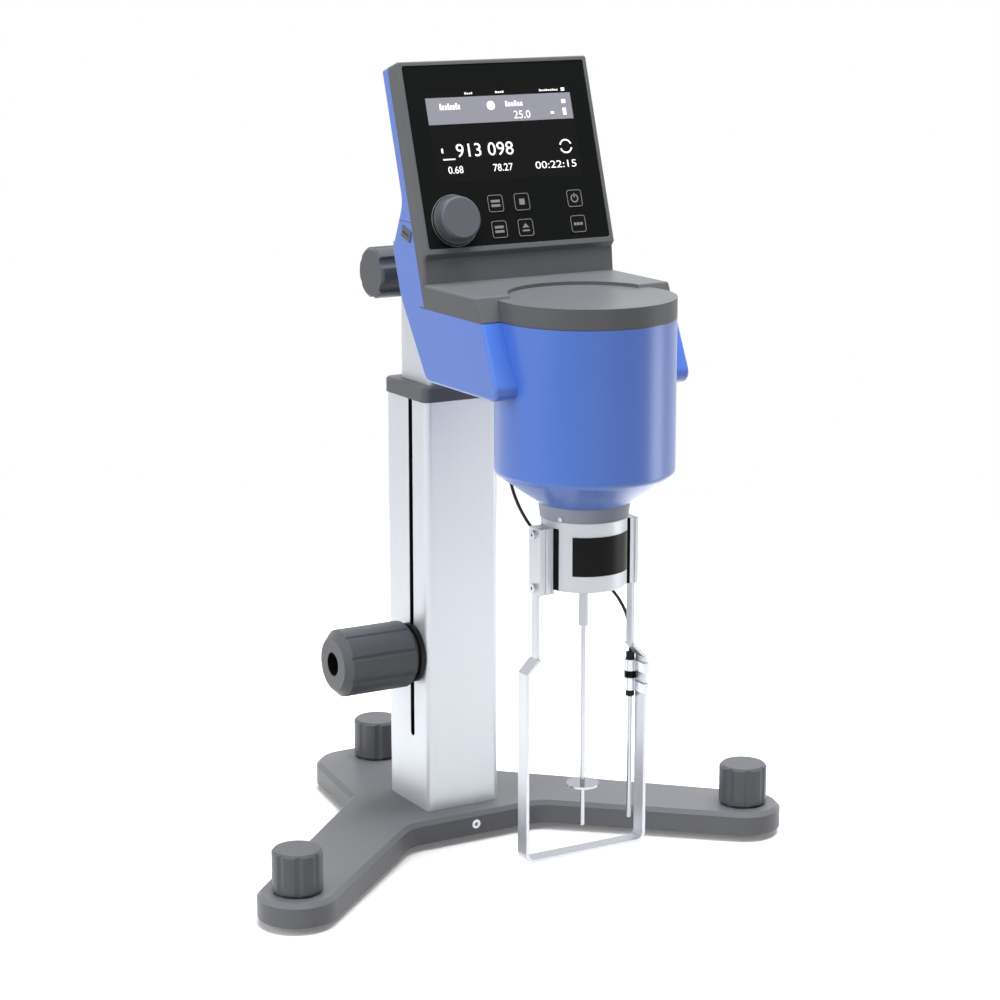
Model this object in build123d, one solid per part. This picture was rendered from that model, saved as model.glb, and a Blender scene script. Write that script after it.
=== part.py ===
from build123d import *
import os
from math import cos, degrees, pi, radians, sin, tan

# Rotational viscometer on a three-legged stand. Lengths in millimetres, angles in degrees.
# +Z is up, -Y is the operator's side. Pieces are drawn about the column's axis and are then
# moved back by COLUMN_Y, so that the origin is the middle of the footprint on the bench.

# ---------------------------------------------------------------- base
FOOT_SPREAD = 336.0            # between the two front levelling screws
FRONT_FOOT_Y = -116.0
REAR_FOOT_Y = 100.0
FOOT_END_RADIUS = 25.5         # rounded ends of the front legs
LEG_ROOT_RADIUS = 31.0
LEG_ROOT_Y = 41.0
REAR_LEG_HALF = 43.0
REAR_LEG_END_Y = 124.0
REAR_LEG_CORNER = 27.0
HUB_HALF = 58.5
HUB_REAR_Y = 20.0              # where the rear leg starts to narrow
HUB_FRONT_Y = -45.0
BASE_BOTTOM_Z = 5.0
BASE_TOP_Z = 20.3
BASE_BEVEL = 2.8
FRONT_JUNCTION_FILLET = 22.0   # where the front legs meet the hub
REAR_JUNCTION_FILLET = 9.0
SPIGOT_TOP_Z = 32.0            # boss of the base that stands inside the column
SEAT_CLEARANCE = 0.1
DRILL_RELIEF = 1.0             # depth of a blind hole past its screw's end
BOLT_RADIUS = 3.0
BOLT_HEAD_RADIUS = 5.0
BOLT_HEAD_HEIGHT = 6.0
BOLT_COVER = 3.0
BOLT_SPACING = 30.0
FRONT_SCREW_RADIUS = 3.1
FRONT_SCREW_LENGTH = 10.0
FRONT_SCREW_Z = 12.2
FRONT_SCREW_KEY = 1.5

# ---------------------------------------------------------------- levelling feet
STUD_RADIUS = 4.0
STUD_CLEARANCE = 0.05
LEVEL_TRAVEL = 4.5
PAD_RADIUS = 10.0
PAD_HEIGHT = 4.3
PAD_SOCKET_FLOOR = 2.0
PAD_RECESS_CLEARANCE = 1.5
KNOB_SEAT_GAP = 0.4
LEVEL_KNOB_RADIUS = 16.0
LEVEL_KNOB_HEIGHT = 27.3
LEVEL_KNOB_LOBES = 8
LEVEL_FLUTE_RADIUS = 5.0
LEVEL_FLUTE_DEPTH = 0.9
LEVEL_KNOB_CHAMFER = 1.6

# ---------------------------------------------------------------- column and carriage
COLUMN_SIZE = 55.4
COLUMN_CORNER = 4.5
COLUMN_WALL = 3.0
COLUMN_TOP_Z = 300.5
COLLAR_HEIGHT = 9.9
COLLAR_OVERHANG = 1.2
COLLAR_SKIRT = 7.0
COLLAR_CHAMFER = 1.2
INNER_SIZE = 41.0
INNER_CORNER = 3.5
INNER_WALL = 2.5
INNER_BOTTOM_Z = 85.0
INNER_TOP_Z = 398.0
GUIDE_CLEARANCE = 0.3
SHOE_HEIGHT = 18.0
SLOT_WIDTH = 5.5
SLOT_BOTTOM_Z = 68.5

# ---------------------------------------------------------------- rack, pinion and height knob
PINION_Y = -6.6
PINION_Z = 127.2
PINION_MODULE = 1.0
PINION_TEETH = 12
PINION_FACE = 12.0
BACKLASH = 0.35
RACK_WIDTH = 10.0
RACK_BACK = 10.0               # depth of the bar behind the tooth roots
RACK_BOTTOM_Z = 52.0
RACK_TOP_Z = 297.0
SHAFT_RADIUS = 2.4
BUSH_RADIUS = 4.5
BUSH_FLANGE_RADIUS = 6.5
BUSH_FLANGE = 1.2
RUNNING_CLEARANCE = 0.05
DISC_RADIUS = 20.0
DISC_THICKNESS = 3.2
DISC_GAP = 0.3
HEIGHT_KNOB_RADIUS = 22.4
HEIGHT_KNOB_LENGTH = 56.0
HEIGHT_KNOB_LOBES = 9
HEIGHT_FLUTE_RADIUS = 1.6
HEIGHT_FLUTE_DEPTH = 1.0
HEIGHT_KNOB_CHAMFER = 5.0
HEIGHT_KNOB_BORE = 7.8
HEIGHT_BORE_DEPTH = 16.0

# ---------------------------------------------------------------- head shells
HEAD_WIDTH = 137.3
HEAD_WALL = 2.5
PANEL_TILT = 17.58
PANEL_HEIGHT = 120.7
PANEL_BOTTOM_Y = -104.6
PANEL_BOTTOM_Z = 408.8
SLAB_THICKNESS = 20.4
BEZEL_SIDE = 12.1              # grey side of the display, behind its front face
TOP_LIP = 3.2
ARM_BOTTOM_Z = 330.5
ARM_HEIGHT = 60.0              # from the arm's underside to the cover's deck
COVER_DEPTH = 14.5             # from the deck down to the seam
PANEL_STEP = 3.3               # lip of the display panel over the deck's riser
RISER_SET_BACK = 1.2
RISER_SLOPE = 1.4
ARM_FRONT_Y = -195.0
ARM_FRONT_TOP_Y = -167.0
ARM_BOTTOM_REAR_Y = -104.0
BACK_SEAM_Z = 427.0
SLAB_FOOT_Z = 438.0
SLAB_FOOT_RADIUS = 16.0
BULGE_Y = -61.0
BULGE_Z = 409.0
BULGE_RADIUS = 9.0
BACK_WAIST_Y = -71.5
BACK_WAIST_Z = 378.0
BACK_WAIST_RADIUS = 40.0
ARM_REAR_RADIUS = 10.0
ARM_FRONT_RADIUS = 7.0
SHELL_EDGE_FILLET = 2.0
SPINDLE_Y = -179.8
BOWL_RADIUS = 55.3
BOWL_SET_DOWN = 2.2            # of the bowl's rim below the deck
BOWL_WALL_Z = 281.4
BOWL_SHOULDER_RADIUS = 4.0
CONE_BOTTOM_Z = 262.4
CONE_BOTTOM_RADIUS = 28.4
DISH_RADIUS = 47.0
DISH_DEPTH = 1.6
COVER_CLIP_LENGTH = 12.0
COVER_CLIP_WIDTH = 7.0
COVER_CLIP_PROUD = 0.5
COVER_CLIP_Y = -80.5
COVER_CLIP_Z = 419.5
COVER_CLIP_SLOT = 1.6
CHASSIS_Y = -84.0
CHASSIS_THICKNESS = 3.0
CHASSIS_BOTTOM_Z = 358.0
CHASSIS_TOP_Z = 405.0
HEAD_SCREW_RADIUS = 2.5
HEAD_SCREW_HEAD = 4.2
HEAD_SCREW_HEIGHT = 4.0
HEAD_SCREW_GRIP = 12.0
HEAD_SCREW_SPACING = 24.0

# ---------------------------------------------------------------- display and controls
GLASS_WIDTH = 130.4
GLASS_HEIGHT = 114.4
GLASS_BOTTOM = 3.4             # from the panel's lower edge
GLASS_CORNER = 1.5
GLASS_THICKNESS = 1.2
GLASS_SET_BACK = 0.3
GLASS_LEDGE = 2.5
SCREEN_WIDTH = 104.4
SCREEN_HEIGHT = 57.4
SCREEN_BOTTOM = 43.5
SCREEN_FRAME = 3.0
BOARD_THICKNESS = 1.6
BOARD_DEPTH = 8.0              # front face of the control board behind the panel's front
KEY_SIZE = 11.2
KEY_CORNER = 1.8
KEY_CLEARANCE = 0.2
KEY_COLUMNS = (-14.0, 5.0, 43.5)
KEY_ROWS = (29.2, 12.8)
KEY_TRAVEL = 0.4
KEY_GAP = 0.5
KEY_THICKNESS = 2.4
KEY_STEM_RADIUS = 1.6
KEY_PROUD = 0.3
KEY_FLANGE_GAP = 0.05
KEY_FLANGE_RIM = 0.8
KEY_FLANGE = 0.8
BOARD_WIDTH = 122.0
BOARD_BOTTOM = 5.0
BOARD_TOP = 112.0
PILLAR_U = 57.0
PILLAR_ROWS = (50.0, 106.0)
PILLAR_RADIUS = 2.5
SWITCH_SIZE = 5.0
SWITCH_HEIGHT = 2.0
KNOB_U = -44.2
KNOB_V = 20.3
MENU_KNOB_RADIUS = 13.6
MENU_KNOB_HEIGHT = 8.5
MENU_KNOB_GAP = 0.8
MENU_KNOB_CROWN = 1.2
MENU_FLANGE_RADIUS = 15.4
MENU_FLANGE = 1.5
ENCODER_SIZE = 12.0
ENCODER_HEIGHT = 5.6
ENCODER_SHAFT_RADIUS = 3.0
PLUNGER_RADIUS = 4.6
PLUNGER_HEIGHT = 1.2
PLUNGER_GAP = 0.8
ENCODER_TRAVEL = 0.5
ENCODER_FLOOR = 0.5

# ---------------------------------------------------------------- drive
NECK_BOTTOM_Z = 253.5
NECK_RADIUS = 27.3
NECK_BAND = 1.5
NECK_SCREW_ANGLE = -153.0
NECK_SCREW_Z = 255.6
NECK_SCREW_RADIUS = 1.5
NECK_SCREW_PROUD = 0.8
NECK_SCREW_INNER = 15.0
HOUSING_RADIUS = 26.4
HOUSING_TOP_Z = 268.0
HOUSING_CHAMFER = 0.8
HOUSING_BOTTOM_Z = 210.2
STEM_RADIUS = 22.0             # housing stem that runs up through the neck ring
STEM_CLEARANCE = 0.2
BEARING_RADIUS = 9.5
BEARING_WIDTH = 6.0
BEARING_RECESS = 2.0
SHAFT_BORE_RADIUS = 7.0
MEASURING_SHAFT_RADIUS = 3.0
MEASURING_SHAFT_BOTTOM_Z = 183.3
FRAME_PLATE = 3.0
FRAME_POST_RADIUS = 3.5
FRAME_HEIGHT = 20.0
MOTOR_SIZE = 42.0
MOTOR_LENGTH = 36.0
MOTOR_CORNER = 5.0
MOTOR_SHAFT_RADIUS = 2.5
MOTOR_SHAFT_IN = 12.0
MOTOR_PILOT_RADIUS = 11.0
FRAME_POST_CIRCLE = 27.0
FRAME_PLATE_RIM = 1.0
HUB_RADIUS = 13.0
HUB_WALL = 1.5
HUB_HEIGHT = 7.0
SPRING_TURNS = 3
SPRING_STEP = 30.0             # angle between the points of the spiral
SPRING_STRIP = 0.5
SPRING_HEIGHT = 3.0
SPRING_CLEARANCE = 0.3

# ---------------------------------------------------------------- spindle and guard
SPINDLE_TIP_Z = 52.6
SPINDLE_ROD_RADIUS = 1.5
SPINDLE_DISC_Z = 80.5
SPINDLE_DISC_RADIUS = 10.4
SPINDLE_DISC_THICKNESS = 1.6
SPINDLE_SCREW_IN = 10.0
GUARD_STRIP = 2.0
GUARD_WIDTH = 10.4
GUARD_UPPER_WIDTH = 6.2         # of the legs above the jog
GUARD_HALF = 43.8
GUARD_TOP_HALF = 35.4
GUARD_TOP_Z = 248.0
GUARD_JOG_TOP_Z = 167.0
GUARD_JOG_BOTTOM_Z = 158.5
GUARD_BOTTOM_Z = 36.5
GUARD_CORNER = 6.0
BLOCK_TOP_Z = 249.0
BLOCK_BOTTOM_Z = 207.6
BLOCK_INNER_X = 24.6
BLOCK_RIBS = 5
BLOCK_GROOVE = 0.7
BLOCK_WIDTH = 13.0
BLOCK_WRAP = 3.0
SCREW_HEAD_RADIUS = 2.75
SCREW_HEAD_HEIGHT = 2.0
SCREW_RADIUS = 1.5
SCREW_LENGTH = 6.0
SCREW_KEY_RADIUS = 1.3
SCREW_INSET_Z = 4.0
LABEL_HALF_ANGLE = 47.0        # either side of straight ahead
LABEL_TOP_Z = 244.8
LABEL_BOTTOM_Z = 220.6
LABEL_THICKNESS = 0.4
LABEL_SEAT = 0.08              # adhesive under the plate

# ---------------------------------------------------------------- temperature sensor
PROBE_X = 40.0
PROBE_Y = -171.6
PROBE_RADIUS = 1.5
PROBE_TIP_Z = 48.9
GRIP_RADIUS = 2.8
GRIP_BOTTOM_Z = 130.0
GRIP_TOP_Z = 158.5
SENSOR_CLIP_WALL = 1.0
SENSOR_CLIP_BOTTOM_Z = 134.0
SENSOR_CLIP_TOP_Z = 154.0
SENSOR_CLIP_BAND = 6.5
LEAD_DIAMETER = 2.0
PLUG_RADIUS = 4.0
PLUG_X = -14.0
PLUG_Y = -112.0
PLUG_LENGTH = 7.5
PLUG_PIN_RADIUS = 2.5
SOCKET_RADIUS = 5.0
SOCKET_FLANGE_RADIUS = 6.5
SOCKET_FLANGE = 1.5
SOCKET_DEPTH = 12.0
LEAD_BEND_SHARE = 0.45
# The lead's route from the plug under the arm, round the bearing housing, to the sensor's grip.
LEAD_ROUTE = [
    (-14.0, -112.0, 321.5), (-14.0, -112.0, 307.0), (-17.0, -116.5, 291.0), (-22.0, -125.0, 277.0),
    (-24.0, -133.0, 263.0), (-21.5, -141.0, 249.0), (-14.5, -146.5, 236.0), (-3.0, -148.5, 225.0),
    (12.5, -148.5, 215.5), (26.5, -152.5, 206.0), (35.5, -159.5, 195.5), (39.5, -167.0, 184.0),
    (40.0, -171.6, 171.0), (40.0, -171.6, 158.5),
]

# ---------------------------------------------------------------- head clamp
BRACKET_WALL = 6.0
BRACKET_CORNER = 12.0
BRACKET_BOTTOM_Z = 368.0
BRACKET_TOP_Z = 401.0
CLAMP_PAD_HALF = 8.0
CLAMP_TRAVEL = 2.0
BRACKET_ARM_HALF = 21.0
CLAMP_Z = 384.5
CLAMP_STUD_RADIUS = 4.0
CLAMP_PAD_THICKNESS = 1.9
CLAMP_KNOB_RADIUS = 16.8
CLAMP_KNOB_LENGTH = 22.0
CLAMP_KNOB_GAP = 4.0
CLAMP_KNOB_LOBES = 6
CLAMP_FLUTE_RADIUS = 5.5
CLAMP_FLUTE_DEPTH = 2.2
CLAMP_KNOB_CHAMFER = 1.5

# ---------------------------------------------------------------- worked out from the sizes above
FOOT_X = FOOT_SPREAD / 2
HEAD_HALF = HEAD_WIDTH / 2
COLUMN_HALF = COLUMN_SIZE / 2
INNER_HALF = INNER_SIZE / 2
DECK_Z = ARM_BOTTOM_Z + ARM_HEIGHT
SEAM_Z = DECK_Z - COVER_DEPTH
BOWL_TOP_Z = DECK_Z - BOWL_SET_DOWN
FRONT_REACH = BOWL_RADIUS - SPINDLE_Y
COLUMN_Y = (FRONT_REACH - REAR_LEG_END_Y) / 2
FEET = {
    "left": (-FOOT_X, FRONT_FOOT_Y),
    "right": (FOOT_X, FRONT_FOOT_Y),
    "rear": (0.0, REAR_FOOT_Y),
}
KNOB_SEAT_Z = BASE_TOP_Z + KNOB_SEAT_GAP
TILT_SIN = sin(radians(PANEL_TILT))
TILT_COS = cos(radians(PANEL_TILT))
PINION_PITCH_RADIUS = PINION_MODULE * PINION_TEETH / 2
RACK_PITCH_Y = PINION_Y + PINION_PITCH_RADIUS
TOOTH_PITCH = pi * PINION_MODULE
DISC_INNER_X = -(COLUMN_HALF + DISC_GAP)
HEIGHT_KNOB_INNER_X = DISC_INNER_X - DISC_THICKNESS
HEIGHT_KNOB_OUTER_X = HEIGHT_KNOB_INNER_X - HEIGHT_KNOB_LENGTH
FRAME_Z = BOWL_WALL_Z + HEAD_WALL / 2
MOTOR_Z = FRAME_Z + 2 * FRAME_PLATE + FRAME_HEIGHT
HUB_TOP_Z = FRAME_Z + FRAME_PLATE + 13.0
BRACKET_HALF = INNER_HALF + BRACKET_WALL
CLAMP_KNOB_INNER_X = -(BRACKET_HALF + CLAMP_KNOB_GAP)
PANEL = Plane(
    origin=(0, PANEL_BOTTOM_Y, PANEL_BOTTOM_Z), x_dir=(1, 0, 0), z_dir=(0, -TILT_COS, TILT_SIN)
)


# ---------------------------------------------------------------- helpers
def span(x0, x1, y0, y1, z0, z1):
    """A box given by its six faces."""
    return Pos((x0 + x1) / 2, (y0 + y1) / 2, (z0 + z1) / 2) * Box(x1 - x0, y1 - y0, z1 - z0)


def post(radius, z0, z1, x=0.0, y=0.0):
    """An upright cylinder."""
    return Pos(x, y, (z0 + z1) / 2) * Cylinder(radius, z1 - z0)


def rod_x(radius, x0, x1, y, z):
    """A cylinder that lies along X."""
    return Pos((x0 + x1) / 2, y, z) * Rot(0, 90, 0) * Cylinder(radius, abs(x1 - x0))


def square_bar(half, corner, z0, z1):
    """An upright square bar with rounded corners."""
    return Pos(0, 0, z0) * extrude(RectangleRounded(2 * half, 2 * half, corner), z1 - z0)


def side_prism(points, half_width):
    """A prism across X from an outline of (y, z) points."""
    face = Plane.YZ * make_face(Polyline(*points, close=True))
    return extrude(face, half_width, both=True)


def round_corner(face, point, radius):
    """The flat face with the corner nearest to the point rounded."""
    corner = face.vertices().sort_by_distance(point)[0]
    return fillet(corner, radius)


def turned(points, centre=(0.0, 0.0), rounds=()):
    """A body of revolution about an upright axis from (radius, z) points, with corners to round."""
    face = make_face(Polyline(*points, close=True))
    for (radius, z), corner_radius in rounds:
        face = round_corner(face, (radius, z, 0), corner_radius)
    return Pos(centre[0], centre[1], 0) * revolve(Plane.XZ * face, Axis.Z)


def fluted_knob(radius, length, lobes, flute_radius, flute_depth, chamfer_size, turn=0.0):
    """A grip along +Z, from z = 0, with evenly spaced flutes and chamfered ends."""
    grip = Circle(radius)
    for index in range(lobes):
        angle = radians(turn + 360 * index / lobes)
        reach = radius + flute_radius - flute_depth
        grip -= Pos(reach * cos(angle), reach * sin(angle)) * Circle(flute_radius)
    outline = [
        (0, 0), (radius - chamfer_size, 0), (radius, chamfer_size),
        (radius, length - chamfer_size), (radius - chamfer_size, length), (0, length),
    ]
    return extrude(grip, length) & turned(outline)


def on_panel(u, v, depth):
    """A place on the display panel: across, up, and how far behind its front face."""
    return PANEL * Pos(u, v, -depth)


def panel_block(u, v, width, height, depth, thickness, corner=0.0):
    """A plate behind the panel's front face, with its own front face at the depth given."""
    outline = RectangleRounded(width, height, corner) if corner else Rectangle(width, height)
    return on_panel(u, v, depth + thickness) * extrude(outline, thickness)


def panel_post(u, v, radius, depth, thickness):
    """A round peg square to the panel, with its own front face at the depth given."""
    return on_panel(u, v, depth + thickness / 2) * Cylinder(radius, thickness)


# ---------------------------------------------------------------- stand
def base_outline():
    """Plan of the three-legged base."""
    outline = Sketch()
    for side in (-1, 1):
        foot = Pos(side * FOOT_X, FRONT_FOOT_Y) * Circle(FOOT_END_RADIUS)
        root = Pos(0, LEG_ROOT_Y) * Circle(LEG_ROOT_RADIUS)
        outline += make_hull(foot.edges() + root.edges())
    rear = make_face(Polyline(
        (-HUB_HALF, HUB_FRONT_Y), (HUB_HALF, HUB_FRONT_Y), (HUB_HALF, HUB_REAR_Y),
        (REAR_LEG_HALF, REAR_LEG_END_Y), (-REAR_LEG_HALF, REAR_LEG_END_Y), (-HUB_HALF, HUB_REAR_Y),
        close=True,
    ))
    for side in (-1, 1):
        rear = round_corner(rear, (side * REAR_LEG_HALF, REAR_LEG_END_Y, 0), REAR_LEG_CORNER)
    outline += rear
    for side in (-1, 1):
        outline = round_corner(outline, (side * HUB_HALF, HUB_FRONT_Y, 0), FRONT_JUNCTION_FILLET)
        outline = round_corner(outline, (side * HUB_HALF, HUB_REAR_Y, 0), REAR_JUNCTION_FILLET)
    return outline


def base_casting():
    plate = Pos(0, 0, BASE_BOTTOM_Z) * extrude(base_outline(), BASE_TOP_Z - BASE_BOTTOM_Z)
    rim = plate.faces().sort_by(Axis.Z)[-1].outer_wire().edges()
    plate = chamfer(rim, BASE_BEVEL)
    inside = COLUMN_HALF - COLUMN_WALL - SEAT_CLEARANCE
    plate += square_bar(inside, COLUMN_CORNER - COLUMN_WALL, BASE_TOP_Z, SPIGOT_TOP_Z)
    for x, y in FEET.values():
        recess_top = PAD_HEIGHT + LEVEL_TRAVEL + KNOB_SEAT_GAP
        plate -= post(PAD_RADIUS + PAD_RECESS_CLEARANCE, 0, recess_top, x, y)
        plate -= post(STUD_RADIUS + STUD_CLEARANCE, 0, BASE_TOP_Z + 1, x, y)
    for x, y in bolt_places():
        plate -= post(BOLT_RADIUS + SEAT_CLEARANCE, 0, SPIGOT_TOP_Z - BOLT_COVER + DRILL_RELIEF, x, y)
        plate -= post(BOLT_HEAD_RADIUS + SEAT_CLEARANCE, 0, BASE_BOTTOM_Z + BOLT_HEAD_HEIGHT, x, y)
    plate -= front_screw_body(SEAT_CLEARANCE / 2)
    return plate


def bolt_places():
    """The four bolts that hold the column's spigot, round the column's axis."""
    half = BOLT_SPACING / 2
    return [(x, y) for x in (-half, half) for y in (-half, half)]


def column_bolts():
    """Four socket screws that come up through the base into its spigot."""
    bolts = []
    head_top = BASE_BOTTOM_Z + BOLT_HEAD_HEIGHT
    for x, y in bolt_places():
        bolt = post(BOLT_HEAD_RADIUS, BASE_BOTTOM_Z, head_top, x, y)
        bolt += post(BOLT_RADIUS, head_top, SPIGOT_TOP_Z - BOLT_COVER, x, y)
        key = extrude(RegularPolygon(BOLT_RADIUS * 0.95, 6), BOLT_HEAD_HEIGHT / 2)
        bolts.append(bolt - Pos(x, y, BASE_BOTTOM_Z) * key)
    return bolts


def front_screw_body(extra=0.0):
    """The blind hole's or the screw's cylinder in the front face of the base."""
    length = FRONT_SCREW_LENGTH
    middle = HUB_FRONT_Y + length / 2
    return Pos(0, middle, FRONT_SCREW_Z) * Rot(90, 0, 0) * Cylinder(FRONT_SCREW_RADIUS + extra, length)


def front_screw():
    """Bright socket screw set flush in the front face of the base."""
    key = Pos(0, HUB_FRONT_Y + 3, FRONT_SCREW_Z) * Rot(90, 0, 0)
    return front_screw_body() - key * extrude(RegularPolygon(FRONT_SCREW_KEY, 6), 4)


def outer_column():
    tube = square_bar(COLUMN_HALF, COLUMN_CORNER, BASE_TOP_Z, COLUMN_TOP_Z)
    inside = COLUMN_HALF - COLUMN_WALL
    tube -= square_bar(inside, COLUMN_CORNER - COLUMN_WALL, BASE_TOP_Z, COLUMN_TOP_Z)
    low = SLOT_BOTTOM_Z + SLOT_WIDTH / 2
    half = SLOT_WIDTH / 2
    slot = span(-COLUMN_HALF - 1, 0, PINION_Y - half, PINION_Y + half, low, COLUMN_TOP_Z + 1)
    slot += rod_x(half, -COLUMN_HALF - 1, 0, PINION_Y, low)
    return tube - slot


def column_collar():
    """Guide cap of the outer column, with a skirt inside the tube."""
    half = COLUMN_HALF + COLLAR_OVERHANG
    top = COLUMN_TOP_Z + COLLAR_HEIGHT
    cap = square_bar(half, COLUMN_CORNER + COLLAR_OVERHANG, COLUMN_TOP_Z, top)
    cap = chamfer(cap.faces().sort_by(Axis.Z)[-1].edges(), COLLAR_CHAMFER)
    skirt_half = COLUMN_HALF - COLUMN_WALL
    skirt_bottom = COLUMN_TOP_Z - COLLAR_SKIRT
    cap += square_bar(skirt_half, COLUMN_CORNER - COLUMN_WALL, skirt_bottom, COLUMN_TOP_Z)
    bore = INNER_HALF + GUIDE_CLEARANCE
    return cap - square_bar(bore, INNER_CORNER + GUIDE_CLEARANCE, skirt_bottom, top)


def rack():
    """Toothed bar that stands on the spigot, inside the inner column."""
    root = RACK_PITCH_Y + 1.25 * PINION_MODULE
    tip = RACK_PITCH_Y - PINION_MODULE
    back = root + RACK_BACK
    half_tip = TOOTH_PITCH / 4 - PINION_MODULE * tan(radians(20)) - BACKLASH / 4
    half_root = TOOTH_PITCH / 4 + 1.25 * PINION_MODULE * tan(radians(20)) - BACKLASH / 4
    outline = [(back, SPIGOT_TOP_Z), (root, SPIGOT_TOP_Z)]
    first = PINION_Z - TOOTH_PITCH * int((PINION_Z - RACK_BOTTOM_Z) / TOOTH_PITCH)
    count = int((RACK_TOP_Z - first) / TOOTH_PITCH)
    for index in range(count):
        # a gap of the rack faces the pinion's lowest tooth at the pinion's height
        z = first + (index + 0.5) * TOOTH_PITCH
        outline += [(root, z - half_root), (tip, z - half_tip), (tip, z + half_tip), (root, z + half_root)]
    outline += [(root, RACK_TOP_Z), (back, RACK_TOP_Z)]
    return side_prism(outline, RACK_WIDTH / 2)


# ---------------------------------------------------------------- levelling feet
def foot_pad(x, y):
    pad = turned([
        (0, 0), (PAD_RADIUS, 0), (PAD_RADIUS, PAD_SOCKET_FLOOR), (PAD_RADIUS - 2, PAD_HEIGHT),
        (0, PAD_HEIGHT),
    ])
    pad -= post(STUD_RADIUS + STUD_CLEARANCE, PAD_SOCKET_FLOOR, PAD_HEIGHT + 1)
    return Pos(x, y, 0) * pad


def levelling_screw(x, y):
    """Fluted knob moulded on its stud, which turns in the pad's socket."""
    knob = fluted_knob(
        LEVEL_KNOB_RADIUS, LEVEL_KNOB_HEIGHT, LEVEL_KNOB_LOBES,
        LEVEL_FLUTE_RADIUS, LEVEL_FLUTE_DEPTH, LEVEL_KNOB_CHAMFER, turn=22.5,
    )
    bottom = PAD_SOCKET_FLOOR + STUD_CLEARANCE
    stud = post(STUD_RADIUS, bottom, KNOB_SEAT_Z + LEVEL_KNOB_CHAMFER, x, y)
    return Pos(x, y, KNOB_SEAT_Z) * knob + stud


# ---------------------------------------------------------------- carriage
def inner_column():
    tube = square_bar(INNER_HALF, INNER_CORNER, INNER_BOTTOM_Z, INNER_TOP_Z)
    inside = INNER_HALF - INNER_WALL
    tube -= square_bar(inside, INNER_CORNER - INNER_WALL, INNER_BOTTOM_Z, INNER_TOP_Z)
    return tube - rod_x(BUSH_RADIUS, -INNER_SIZE, INNER_SIZE, PINION_Y, PINION_Z)


def guide_shoe():
    """Plastic sleeve on the lower end of the inner column."""
    outer = COLUMN_HALF - COLUMN_WALL - GUIDE_CLEARANCE
    corner = COLUMN_CORNER - COLUMN_WALL
    top = INNER_BOTTOM_Z + SHOE_HEIGHT
    shoe = square_bar(outer, corner, INNER_BOTTOM_Z, top)
    return shoe - square_bar(INNER_HALF, INNER_CORNER, INNER_BOTTOM_Z, top)


def pinion_bushes():
    """Flanged bushes in both side walls of the inner column."""
    bushes = []
    for side in (-1, 1):
        flange = rod_x(
            BUSH_FLANGE_RADIUS, side * INNER_HALF, side * (INNER_HALF + BUSH_FLANGE), PINION_Y, PINION_Z
        )
        sleeve = rod_x(
            BUSH_RADIUS, side * (INNER_HALF - INNER_WALL), side * INNER_HALF, PINION_Y, PINION_Z
        )
        bore = rod_x(SHAFT_RADIUS + RUNNING_CLEARANCE, 0, side * INNER_SIZE, PINION_Y, PINION_Z)
        bushes.append(flange + sleeve - bore)
    return bushes


def pinion_outline():
    """Pinion in the plane across its axis, with one tooth towards the rack."""
    root_radius = PINION_PITCH_RADIUS - 1.25 * PINION_MODULE
    tip_radius = PINION_PITCH_RADIUS + PINION_MODULE
    step = 2 * pi / PINION_TEETH
    thickness = (TOOTH_PITCH / 2 - BACKLASH / 2) / PINION_PITCH_RADIUS
    points = []
    for index in range(PINION_TEETH):
        middle = index * step
        for radius, share in ((root_radius, 1.45), (PINION_PITCH_RADIUS, 1.0), (tip_radius, 0.42)):
            points.append((radius, middle - share * thickness / 2))
        for radius, share in ((tip_radius, 0.42), (PINION_PITCH_RADIUS, 1.0), (root_radius, 1.45)):
            points.append((radius, middle + share * thickness / 2))
    return [(r * cos(a), r * sin(a)) for r, a in points]


def pinion_shaft():
    """Shaft with its pinion, from the knob to the far bush."""
    inner_end = INNER_HALF + BUSH_FLANGE
    outer_end = HEIGHT_KNOB_OUTER_X + HEIGHT_BORE_DEPTH
    shaft = rod_x(SHAFT_RADIUS, outer_end, inner_end, PINION_Y, PINION_Z)
    places = [(PINION_Y + y, PINION_Z + z) for y, z in pinion_outline()]
    return shaft + side_prism(places, PINION_FACE / 2)


def friction_disc():
    """Black disc between the height knob and the column."""
    disc = rod_x(DISC_RADIUS, DISC_INNER_X, HEIGHT_KNOB_INNER_X, PINION_Y, PINION_Z)
    return disc - rod_x(SHAFT_RADIUS, -2 * COLUMN_SIZE, 0, PINION_Y, PINION_Z)


def height_knob():
    knob = fluted_knob(
        HEIGHT_KNOB_RADIUS, HEIGHT_KNOB_LENGTH, HEIGHT_KNOB_LOBES,
        HEIGHT_FLUTE_RADIUS, HEIGHT_FLUTE_DEPTH, HEIGHT_KNOB_CHAMFER, turn=10.0,
    )
    floor = HEIGHT_KNOB_LENGTH - HEIGHT_BORE_DEPTH
    knob -= post(HEIGHT_KNOB_BORE, floor, HEIGHT_KNOB_LENGTH + 1)
    knob -= post(SHAFT_RADIUS, -1, floor + 1)
    return Pos(HEIGHT_KNOB_INNER_X, PINION_Y, PINION_Z) * Rot(0, -90, 0) * knob


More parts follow.
